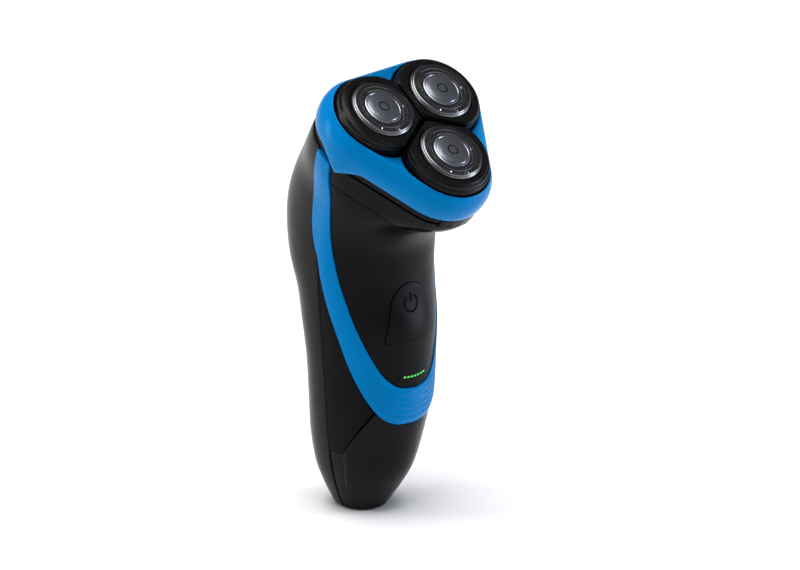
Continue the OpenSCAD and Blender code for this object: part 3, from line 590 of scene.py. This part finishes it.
def gripSpot(side):
    def place(s, t):
        values = gripValues
        station = values["low"] + (values["high"] - values["low"]) * t
        front = lineThrough(gripFrontEdge, station) + values["gap"]
        return skin(station, side * (front + (seamSide - front) * s), values["lift"])
    return place


def bandSpot(u, w):
    # u from -1 to 1 goes round the U, w from 0 to 1 from its outer to its inner edge
    place = abs(u) * (len(bandOuterEdge) - 1)
    outer = curveThrough(bandOuterEdge, place)
    inner = curveThrough(bandInnerEdge, place)
    station = outer[0] + (inner[0] - outer[0]) * w
    angle = outer[1] + (inner[1] - outer[1]) * w
    return station, math.copysign(angle, u)


bandValues = {"proud": 0.5, "crown": 0.22, "ribs": 5, "ribHeight": 0.4, "ribSpread": 0.36,
              "ribMargin": 0.08, "inset": 0.02}


def bandPlace(s, t):
    values = bandValues
    u = -1 + 2 * t
    w = values["inset"] + (1 - 2 * values["inset"]) * (1 - s)
    station, angle = bandSpot(u, w)
    fade = max(0, 1 - (u / values["ribSpread"]) ** 4)
    phase = min(max((w - values["ribMargin"]) / (1 - 2 * values["ribMargin"]), 0), 1)
    rib = values["ribHeight"] * fade * abs(math.sin(math.pi * values["ribs"] * phase)) ** 1.5
    crown = values["crown"] * math.sin(math.pi * w) * (1 - fade)
    return skin(station, angle, values["proud"] + rib + crown)


# where the panel ends along the band, and the panel's gap to what is round it, in stations
panelTop = 6.53
panelGap = 0.02


def seamStation(angle):
    # the seam between the front panel and the neck collar
    return 10.85 + 0.57 * math.sin(math.radians(min(90, abs(angle) * 1.5))) ** 2


def panelSpot(s, t):
    place = 0.15 + (panelTop - 0.15) * t
    edge = curveThrough(bandInnerEdge, place)
    angle = -edge[1] + 2 * edge[1] * s
    lift = seamStation(angle) - curveThrough(bandInnerEdge, panelTop)[0] - panelGap
    return skin(edge[0] + panelGap + lift * t ** 4, angle * (1 - 0.25 / max(edge[1], 1)))


def collarSpot(s, t):
    half = 90.5 + 6 * t
    angle = -half + 2 * half * s
    low = seamStation(angle) + 0.014
    return skin(low + (topStation - topGap - low) * t, angle)


buttonValues = {"middle": 79.0, "halfWidth": 11.6, "archRadius": 8.58, "archRise": 1.9, "footTop": -8.0,
                "footLow": -9.5, "gap": 0.3, "lift": 0.25, "dish": 0.3, "dishRadius": 9, "dishMiddle": 0.5}
lensValues = {"middle": 55.5, "halfWidth": 6.5, "halfHeight": 1.2, "gap": 0.08, "lift": 0.05}
# how far the cuts through the front run along Y, in mm
frontCut = (-40, -10)


def buttonOutline(room):
    values = buttonValues
    top = values["archRise"] + values["archRadius"] + room
    low = values["footLow"] - room
    heights = [low + (top - low) * math.sin(math.radians(90 * k / 40)) for k in range(40)]
    right = [(archHalfWidth(h, room), h) for h in heights]
    points = right + [(0, top)] + [(-x, h) for x, h in reversed(right)]
    return [(x, h + values["middle"]) for x, h in points]


def buildFrontPanel():
    panel = sheetPiece("frontPanel", 120, 150, panelSpot, wall, bevel=0.2)
    button = prismOutline("buttonWindow", buttonOutline(buttonValues["gap"]), *frontCut)
    lens = lensValues
    outline = roundedOutline(lens["halfWidth"] + lens["gap"], lens["halfHeight"] + lens["gap"],
                             lens["halfHeight"], lens["middle"])
    cutAway(panel, [button, prismOutline("lensWindow", outline, *frontCut)])
    smoothByAngle(panel, 32)
    finishPiece(panel, finishes["satinBlack"], "handle", "black_satin", "front_panel")


def buttonLift(x, height):
    # a shallow dish for the fingertip under the mark
    values = buttonValues
    away = math.hypot(x, height - values["dishMiddle"]) / values["dishRadius"]
    return values["lift"] - values["dish"] * smoothStep(1 - away)


def buttonSpot(s, t):
    values = buttonValues
    top = values["archRise"] + values["archRadius"]
    # rows crowd towards the top, where the arch turns over
    height = values["footLow"] + (top - values["footLow"]) * math.sin(math.pi / 2 * min(t, 1))
    half = archHalfWidth(height)
    x = (2 * s - 1) * half
    station, angle = frontSpot(x, values["middle"] + height)
    return skin(station, angle, buttonLift(x, height))


markValues = {"radius": 3.0, "stroke": 0.75, "gapAngle": 34, "arcStep": 8, "barLow": 0.6, "barStep": 0.4,
              "height": 3.2, "proud": 0.05, "thick": 0.3}


def strokePiece(name, path, half, lift, thick):
    # a raised stroke of even width along a path of (x, z) points on the front
    def place(s, t):
        k = min(int(t * (len(path) - 1)), len(path) - 2)
        f = t * (len(path) - 1) - k
        (x0, z0), (x1, z1) = path[k], path[k + 1]
        length = math.hypot(x1 - x0, z1 - z0)
        side = (2 * s - 1) * half
        x = x0 + (x1 - x0) * f - (z1 - z0) / length * side
        z = z0 + (z1 - z0) * f + (x1 - x0) / length * side
        station, angle = frontSpot(x, z)
        return skin(station, angle, lift(x, z))
    return sheetPiece(name, 2, len(path) - 1, place, thick, bevel=0.08)


def buildPowerButton():
    values = markValues
    button = sheetPiece("powerButton", 60, 60, buttonSpot, wall - 0.2, bevel=0.3)
    finishPiece(button, finishes["satinBlack"], "power_button", "black_satin", "power_button")
    middle = buttonValues["middle"] + values["height"]

    def lift(x, z):
        return buttonLift(x, z - buttonValues["middle"]) + values["proud"]

    radius = values["radius"]
    arc = [(radius * math.sin(math.radians(a)), middle + radius * math.cos(math.radians(a)))
           for a in range(values["gapAngle"], 361 - values["gapAngle"], values["arcStep"])]
    bar = [(0, middle + values["barLow"] + k * values["barStep"]) for k in range(9)]
    for name, path in (("powerMarkRing", arc), ("powerMarkBar", bar)):
        piece = strokePiece(name, path, values["stroke"] / 2, lift, values["thick"])
        finishPiece(piece, finishes["markBlack"], "power_button", "black_satin")


def lensSpot(s, t):
    values = lensValues
    corner = values["halfHeight"]
    z = (2 * t - 1) * values["halfHeight"]
    half = values["halfWidth"] - corner + math.sqrt(max(corner ** 2 - z ** 2, 0))
    station, angle = frontSpot((2 * s - 1) * half, values["middle"] + z)
    return skin(station, angle, values["lift"])


chargeValues = {"marks": 7, "pitch": 1.5, "halfLong": 0.48, "halfHigh": 0.3, "low": -0.15, "bow": 0.018,
                "lean": 0.0036, "lift": 0.09, "thick": 0.04}


def buildDisplay():
    lens = sheetPiece("displayLens", 40, 10, lensSpot, wall, bevel=0.0)
    finishPiece(lens, finishes["lens"], "handle", "smoked_lens", "display_lens")
    values = chargeValues
    for k in range(values["marks"]):
        x = values["pitch"] * (k - (values["marks"] - 1) / 2)
        z = lensValues["middle"] + values["bow"] * x * x + values["low"]
        path = [(x + values["halfLong"] * j / 2, z + values["lean"] * j * x) for j in range(-2, 3)]
        mark = strokePiece("chargeMark" + str(k + 1), path, values["halfHigh"],
                           lambda x, z: chargeValues["lift"], values["thick"])
        finishPiece(mark, finishes["glow"], "handle", "light_green")


lipValues = {"low": 0.4, "long": 8.9, "from": 87, "wide": 6, "lift": -1.1, "thick": 0.6}


def seamLipSpot(side):
    # the lip behind the side seam, where the shells lap
    values = lipValues
    return lambda s, t: skin(values["low"] + values["long"] * t,
                             side * (values["from"] + values["wide"] * s), values["lift"])


notchValues = {"half": 8.3, "deep": 8.5, "reach": 3, "z": -20.4, "tall": 6}


def buildNeckCollar():
    # the notch at the front leaves room for the release button
    values = notchValues
    collar = sheetPiece("neckCollar", 120, 20, collarSpot, wall, bevel=0.25)
    notch = faceBox("releaseNotch", values["half"], -neckRadius - face["headCircle"] - values["reach"],
                    values["deep"], values["z"], values["tall"])
    cutAway(collar, [notch])
    smoothByAngle(collar, 32)
    finishPiece(collar, finishes["collarBlack"], "handle", "black_gloss", "neck_collar")


sides = (("Left", -1), ("Right", 1))
buildRearShell()
for sideName, side in sides:
    lip = sheetPiece("seamLip" + sideName, 6, 90, seamLipSpot(side), lipValues["thick"], bevel=0.0)
    finishPiece(lip, finishes["innerBlack"], "handle", "black_gloss")
lower = sheetPiece("lowerShell", 120, 60, lowerSpot, wall, bevel=0.2)
finishPiece(lower, finishes["glossBlack"], "handle", "black_gloss", "lower_shell")
for sideName, side in sides:
    grip = sheetPiece("sideGrip" + sideName, 24, 90, gripSpot(side), wall, bevel=0.35)
    finishPiece(grip, finishes["rubber"], "handle", "grip_rubber", "side_grip_" + sideName.lower())
band = sheetPiece("blueBand", 48, 240, bandPlace, wall + 0.5, bevel=0.2, smooth=40)
finishPiece(band, finishes["blue"], "handle", "blue_plastic", "blue_band")
buildFrontPanel()
buildNeckCollar()
buildPowerButton()
buildDisplay()
print("casing done")

ringValues = {"floor": -16.0, "tip": 5.5, "tipSpread": 17, "tipAngle": 2, "scoop": 1.5}


def trefoilReach(angle, radius):
    # the edge of the opening that the three lobes sit in
    circle = face["headCircle"]
    corner = math.radians((angle - 30 + 60) % 120 - 60)
    return circle * math.cos(corner) + math.sqrt(max(radius ** 2 - (circle * math.sin(corner)) ** 2, 0))


def tipDip(angle):
    # how far the ring's skirt dips to a tip at each side
    tip = ringValues["tipAngle"]
    near = min(abs(angle - (180 - tip)), abs(angle - tip), abs(angle - (360 + tip)))
    return ringValues["tip"] * max(0, 1 - near / ringValues["tipSpread"]) ** 1.5


def valley(angle):
    # 1 halfway between two lobes, 0 beside a lobe
    corner = abs((angle - 30 + 60) % 120 - 60)
    return smoothStep((corner - 30) / 26)


# rings of the head ring's outer skin and of its opening
def outerRing(shrink, height, tipShare=0.0):
    return lambda a: (triangleReach(a, ringRadius - shrink), height - tipShare * tipDip(a))


def innerRing(grow, height, blend=0.0, scoop=0.0):
    def ring(a):
        inner = trefoilReach(a, face["lobe"] + face["lobeRoom"] + grow)
        outer = triangleReach(a, ringRadius - 3.2)
        return inner + (outer - inner) * blend, height - scoop * ringValues["scoop"] * valley(a)
    return ring


def innerTip(height, tipShare):
    def ring(a):
        dipped = tipShare * tipDip(a)
        inner = trefoilReach(a, face["lobe"] + face["lobeRoom"])
        outer = triangleReach(a, neckRadius + 0.4)
        share = smoothStep(tipDip(a) / 1.5)
        return inner + (outer - inner) * share, height - dipped
    return ring


def buildHeadRing():
    floor = ringValues["floor"]
    rings = [innerTip(floor, 1.0), outerRing(1.65, floor, 1.0), outerRing(1.35, floor + 0.3, 0.95),
             outerRing(1.1, floor + 1, 0.8), outerRing(0.9, floor + 2, 0.5),
             outerRing(0.78, floor + 3.3, 0.25),
             outerRing(0.75, floor + 4.6, 0.08), outerRing(0.85, -10.2), outerRing(1.1, -9),
             outerRing(1.45, -7.9), outerRing(1.95, -6.9), outerRing(2.55, -6),
             outerRing(3.1, -5.4), innerRing(0, -5.1, 0.75, 0.6), innerRing(0, -5.0, 0.5, 0.95),
             innerRing(0, -5.0, 0.25, 1.0), innerRing(0.35, -5.15, 0.0, 1.0),
             innerRing(0.08, -5.35, 0.0, 1.0),
             innerRing(0, -5.7, 0.0, 1.0), innerRing(0, -9.5), innerRing(0, floor + 2)]
    ring = ringPiece("headRing", rings, 240, faceMatrix, smooth=40)
    finishPiece(ring, finishes["blue"], "shaving_unit", "blue_plastic", "head_ring")


def buildKnuckle(sideName, side):
    # a hinge knuckle lies along X, and its upper half is stretched up into the ring
    values = hingeValues
    deselectAll()
    bpy.ops.mesh.primitive_cylinder_add(vertices=40, radius=values["knuckleRadius"] * mm,
                                        depth=values["knuckleLong"] * mm)
    knuckle = bpy.context.object
    knuckle.name = "hingeKnuckle" + sideName
    bpy.ops.object.mode_set(mode="EDIT")
    bpy.ops.mesh.select_all(action="SELECT")
    bpy.ops.transform.rotate(value=math.pi / 2, orient_axis="Y", center_override=(0, 0, 0))
    bpy.ops.object.mode_set(mode="OBJECT")
    for vertex in knuckle.data.vertices:
        x, y, z = vertex.co / mm
        if z > 0.5:
            z = values["webTop"]
        vertex.co = onFace(x + side * values["knuckleX"], values["y"] + y, values["z"] + z)
    addModifier(knuckle, "BEVEL", width=0.25 * mm, segments=2, limit_method="ANGLE")
    applyModifiers(knuckle)
    smoothByAngle(knuckle, 40)
    finishPiece(knuckle, finishes["blue"], "shaving_unit", "blue_plastic")


def lobeReach(angle, radius, clip):
    # the lobe's edge seen from its head: a circle clipped by the gaps to its two neighbours
    limits = [radius]
    for side in (-150, 150):
        lean = math.cos(math.radians(angle - side))
        if lean > 0.2:
            limits.append(clip / lean)
    # a soft minimum rounds the corners
    return sum(limit ** -40 for limit in limits) ** (-1 / 40)


lobeValues = {"floor": -7.2, "seat": 12.1, "seatFloor": -4.2, "bore": 10.9}


def buildLobe(head):
    values = lobeValues
    clip = face["headCircle"] * math.sin(math.radians(60)) - face["lobeGap"] / 2
    turn = headDirections[head]
    hx, hy = headCentre(head)
    matrix = faceMatrix @ Matrix.Translation((hx, hy, 0)) @ Matrix.Rotation(math.radians(turn), 4, "Z")

    def petal(angle, shrink):
        # the steps are full at the outer end and fade towards the corners beside the gaps
        a = angle if angle <= 180 else angle - 360
        fade = 0.25 + 0.75 * smoothStep((130 - abs(a)) / 110)
        return lobeReach(a, face["lobe"] - shrink * fade, clip - shrink * 0.22)

    def edge(shrink, height):
        return lambda a: (petal(a, shrink), height)

    def toSeat(share, height):
        def ring(a):
            outer = petal(a, 2.4)
            return outer + (values["seat"] + 0.25 - outer) * share, height
        return ring

    rings = [steady(values["bore"], values["floor"]), edge(0.3, values["floor"]), edge(0.05, -6.6),
             edge(0, -5), edge(0.12, -4.0), edge(0.3, -3.65), edge(0.6, -3.45), edge(0.85, -3.4),
             edge(0.95, -3.2),
             edge(1.05, -2.3), edge(1.2, -2.05), edge(1.5, -1.9), edge(1.95, -1.85), edge(2.1, -1.75),
             edge(2.2, -1.35), edge(2.4, -1.18), toSeat(0.3, -1.1), toSeat(0.7, -1.08), toSeat(1, -1.12),
             steady(values["seat"] + 0.05, -1.3), steady(values["seat"], -2.2),
             steady(values["seat"], values["seatFloor"]), steady(values["bore"], values["seatFloor"])]
    lobe = ringPiece("lobe_" + head, rings, 180, matrix, smooth=28)
    finishPiece(lobe, finishes["lobeBlack"], "lobe_" + head, "lobe_black", "lobe_" + head)


capValues = {"sides": 180, "slotSpans": ((7.9, 8.9), (9.25, 10.45)), "skin": 0.12}


def buildCap(head):
    # the slotted cap is a thin turned skin whose two tracks lose every other narrow face
    radius, dome = face["cap"], face["dome"]
    hx, hy = headCentre(head)
    matrix = faceMatrix @ Matrix.Translation((hx, hy, 0))
    profile = [(radius - 0.1, -3.9), (radius - 0.05, -1.9), (radius, -1.75), (radius, -1.25),
               (radius - 0.12, -0.95), (radius - 0.45, -0.62), (radius - 0.62, -0.5),
               (radius - 0.7, -0.28), (radius - 0.85, -0.1),
               (radius - 1.1, 0.0), (10.45, 0.02), (9.85, 0.04), (9.25, 0.02), (9.16, -0.1), (9.0, -0.1),
               (8.9, 0.02), (8.4, 0.04), (7.9, 0.02), (dome + 0.5, -0.02), (dome + 0.3, -0.3),
               (dome + 0.15, -0.6), (dome + 0.12, -1.6)]

    def place(s, t):
        a = 2 * math.pi * (s % 1)
        r, z = profile[round(t * (len(profile) - 1))]
        return (matrix @ Vector((r * math.cos(a), r * math.sin(a), z))) * mm

    cap = wrapGrid("cap_" + head, capValues["sides"], len(profile) - 1, place)
    weldMesh(cap, outward=False)
    inverse = matrix.inverted()
    outward = matrix.to_3x3() @ Vector((0, 0, 1))
    top = [p for p in cap.data.polygons if (inverse @ (p.center / mm)).z > -0.06]
    if top[0].normal.dot(outward) < 0:
        cap.data.flip_normals()
    bpy.context.tool_settings.mesh_select_mode = (False, False, True)
    selectOnly(cap)
    step = 2 * math.pi / capValues["sides"]
    for polygon in cap.data.polygons:
        local = inverse @ (polygon.center / mm)
        r = math.hypot(local.x, local.y)
        index = math.floor((math.atan2(local.y, local.x) % (2 * math.pi)) / step)
        inTrack = [low < r < high for low, high in capValues["slotSpans"]]
        polygon.select = any(inTrack) and index % 2 == 0
    bpy.ops.object.mode_set(mode="EDIT")
    bpy.ops.mesh.delete(type="FACE")
    bpy.ops.object.mode_set(mode="OBJECT")
    addModifier(cap, "SOLIDIFY", thickness=capValues["skin"] * mm, offset=-1)
    applyModifiers(cap)
    smoothByAngle(cap, 30)
    finishPiece(cap, finishes["cap" + head], "lobe_" + head, "cap_steel", "cap_" + head)


domeValues = {"markRadius": 1.6, "markStroke": 0.4}


def buildDome(head):
    dome = face["dome"]
    hx, hy = headCentre(head)
    matrix = faceMatrix @ Matrix.Translation((hx, hy, 0))
    rings = [steady(0, -1.2), steady(dome - 0.1, -1.2), steady(dome, -1.1), steady(dome, -0.25),
             steady(dome - 0.1, -0.05), steady(dome - 0.5, 0.08), steady(dome - 0.75, 0.12),
             steady(dome - 0.85, 0.05), steady(dome - 1.05, 0.05), steady(dome - 1.15, 0.14),
             steady(dome - 2, 0.33), steady(dome - 3, 0.46), steady(dome - 4.2, 0.54), steady(2.2, 0.57),
             steady(1, 0.59), steady(0, 0.6)]
    piece = ringPiece("dome_" + head, rings, 144, matrix, closedLoop=False, smooth=25)
    inner = domeValues["markRadius"]
    outer = inner + domeValues["markStroke"]
    stamp = [steady(inner, 0.4), steady(outer, 0.4), steady(outer, 0.6), steady(inner, 0.61)]
    mark = ringPiece("domeMark_" + head, stamp, 48, matrix)
    finishPiece(mark, finishes["markBlack"], "lobe_" + head, "dome_silver")
    finishPiece(piece, finishes["dome" + head], "lobe_" + head, "dome_silver", "dome_" + head)


buildHeadRing()
for sideName, side in sides:
    buildKnuckle(sideName, side)
for head in headDirections:
    buildLobe(head)
    buildCap(head)
    buildDome(head)
print("shaving unit done")

trimmerValues = {"low": 99.95, "high": 128.6, "half": 13.05, "corner": 3.0, "thick": 1.2, "proud": 0.2,
                 "crown": 0.25}


def rearSpotAt(x, z):
    # station and angle of the rear skin's point at x and z, in mm
    low, high = 6.5, 11.6
    angle = 180.0
    for _ in range(26):
        station = (low + high) / 2
        s = curveThrough(bodyStations, station)
        sine = max(-1, min(1, signedPower(x / s[5], 1 / 0.8)))
        angle = 180 - math.degrees(math.asin(sine))
        reach = s[4] * abs(math.cos(math.radians(angle))) ** 0.8
        if s[1] + reach * math.sin(math.radians(s[2])) < z:
            low = station
        else:
            high = station
    return station, angle


def roundedHalfWidth(z, low, high, half, corner):
    # half width of a rounded rectangle at height z
    if z < low + corner:
        d = low + corner - z
    elif z > high - corner:
        d = z - (high - corner)
    else:
        d = 0
    return half - corner + math.sqrt(max(corner ** 2 - d ** 2, 0))


def rearPatch(name, values, rows, cols, thick, lift):
    # a rounded panel lying on the skin of the back
    def place(s, t):
        # rows crowd at both ends, where the corners turn
        share = 0.5 - 0.5 * math.cos(math.pi * t)
        z = values["low"] + (values["high"] - values["low"]) * share
        half = roundedHalfWidth(z, values["low"], values["high"], values["half"], values["corner"])
        station, angle = rearSpotAt((1 - 2 * s) * half, z)
        return skin(station, angle, lift(s, share))
    return sheetPiece(name, cols, rows, place, thick, bevel=0.3)


def buildTrimmer():
    arm = rearPatch("trimmerArm", trimmerValues, 70, 60, trimmerValues["thick"],
                    lambda s, t: trimmerValues["proud"]
                    + trimmerValues["crown"] * smoothStep((0.5 - abs(s - 0.5)) * 4))
    finishPiece(arm, finishes["glossBlack"], "trimmer", "black_gloss")


slideValues = {"low": 84.0, "high": 92.0, "half": 6.0, "corner": 0.7, "thick": 2.6, "proud": 0.45,
               "grooves": 4, "grooveDepth": 0.35}


def buildSlide():
    def lift(s, t):
        values = slideValues
        groove = values["grooveDepth"] * abs(math.sin(math.pi * values["grooves"] * t)) ** 0.6
        return values["proud"] + groove * smoothStep((0.5 - abs(s - 0.5)) * 8)
    slide = rearPatch("trimmerSlide", slideValues, 80, 24, slideValues["thick"], lift)
    finishPiece(slide, finishes["rubber"], "trimmer_slide", "grip_rubber", "trimmer_slide")


buildTrimmer()
buildSlide()
print("trimmer done")

# the finish of each piece that keeps its CAD mesh
carried = {
    "top_plate": "innerBlack", "chassis": "greyNylon", "motor_plate": "greyNylon", "motor": "motorCan",
    "pinion": "brass", "cell": "cellWrap", "cell_tabs": "nickel", "circuit_board": "boardGreen",
    "power_switch": "innerBlack", "charge_lights": "paleNylon", "base_cap": "satinBlack",
    "charging_socket": "innerBlack", "charge_pins": "nickel", "neck_seal": "seal", "screws": "steel",
    "hinge_pin": "steel", "release_button": "collarBlack", "release_spring": "spring",
    "trimmer_arm": "glossBlack", "trimmer_comb": "blade", "trimmer_blade": "blade", "trimmer_pin": "steel",
    "retaining_frame": "innerBlack", "lock_knob": "innerBlack",
}
for head in headDirections:
    carried["cutter_" + head] = "blade"
    carried["spindle_" + head] = "paleNylon"
    carried["gear_" + head] = "paleNylon"
    carried["spring_" + head] = "spring"
for name, finish in carried.items():
    data = nodes[name].data
    data.materials.clear()
    data.materials.append(finishes[finish])
print("carried-over finishes done")

# floor, light and camera
studio = {"floor": (0.88, 0.88, 0.88), "floorSize": 80, "floorDrop": 0.0005, "sky": 0.14, "sun": 3.2,
          "sunSpread": 50, "azimuth": -44.0, "elevation": 20.5, "distance": 2.6, "scale": 2830.0,
          "imageWidth": 800, "sensor": 36.0, "aim": (0, -8, 80), "right": 8.0, "up": 4.0}

deselectAll()
bpy.ops.mesh.primitive_plane_add(size=studio["floorSize"], location=(0, 0, -studio["floorDrop"]))
floor = bpy.context.object
floor.name = "studioFloor"
floorMaterial, _, floorShader, _ = startMaterial("paleFloor")
floorShader.inputs["Base Color"].default_value = (*studio["floor"], 1)
floorShader.inputs["Roughness"].default_value = 0.8
floor.data.materials.append(floorMaterial)

world = bpy.data.worlds.new("paleStudio")
bpy.context.scene.world = world
world.use_nodes = True
world.node_tree.nodes["Background"].inputs["Color"].default_value = (0.93, 0.95, 1.0, 1)
world.node_tree.nodes["Background"].inputs["Strength"].default_value = studio["sky"]

azimuth = math.radians(studio["azimuth"])
elevation = math.radians(studio["elevation"])
right = Vector((math.cos(azimuth), math.sin(azimuth), 0))
back = Vector((math.sin(azimuth) * math.cos(elevation), -math.cos(azimuth) * math.cos(elevation),
               math.sin(elevation)))
up = back.cross(right)
aim = Vector(studio["aim"]) * mm + right * studio["right"] * mm + up * studio["up"] * mm


def softLight(name, towards, away, size, watts, tint=(1, 1, 1)):
    lamp = bpy.data.lights.new(name, "AREA")
    lamp.shape = "RECTANGLE"
    lamp.size, lamp.size_y = size
    lamp.energy = watts
    lamp.color = tint
    holder = bpy.data.objects.new(name, lamp)
    bpy.context.scene.collection.objects.link(holder)
    holder.location = aim + towards.normalized() * away
    holder.rotation_euler = towards.to_track_quat("Z", "Y").to_euler()


softLight("topSoftbox", back * 0.35 + up * 1.0 - right * 0.25, 0.7, (0.4, 0.4), 1.6)
softLight("leftSoftbox", back * 0.1 - right * 1.0 + up * 0.15, 0.75, (0.18, 0.45), 2.4)
softLight("rightSoftbox", back * 0.05 + right * 1.0 + up * 0.2, 0.8, (0.2, 0.5), 4, (0.8, 0.88, 1))
softLight("frontSoftbox", back * 1.0 - right * 0.35 + up * 0.6, 1.1, (0.35, 0.35), 1)

sunLamp = bpy.data.lights.new("overheadSun", "SUN")
sunLamp.energy = studio["sun"]
sunLamp.angle = math.radians(studio["sunSpread"])
sunHolder = bpy.data.objects.new("overheadSun", sunLamp)
bpy.context.scene.collection.objects.link(sunHolder)
sunHolder.rotation_euler = (Vector((0, 0, 1)) + 0.15 * back).to_track_quat("Z", "Y").to_euler()

camera = bpy.data.cameras.new("viewCamera")
camera.sensor_width = studio["sensor"]
camera.lens = studio["scale"] * studio["distance"] * studio["sensor"] / studio["imageWidth"]
cameraHolder = bpy.data.objects.new("viewCamera", camera)
bpy.context.scene.collection.objects.link(cameraHolder)
cameraHolder.location = aim + back * studio["distance"]
cameraHolder.rotation_euler = back.to_track_quat("Z", "Y").to_euler()
bpy.context.scene.camera = cameraHolder
bpy.context.scene.view_settings.view_transform = "Standard"
print("studio done")
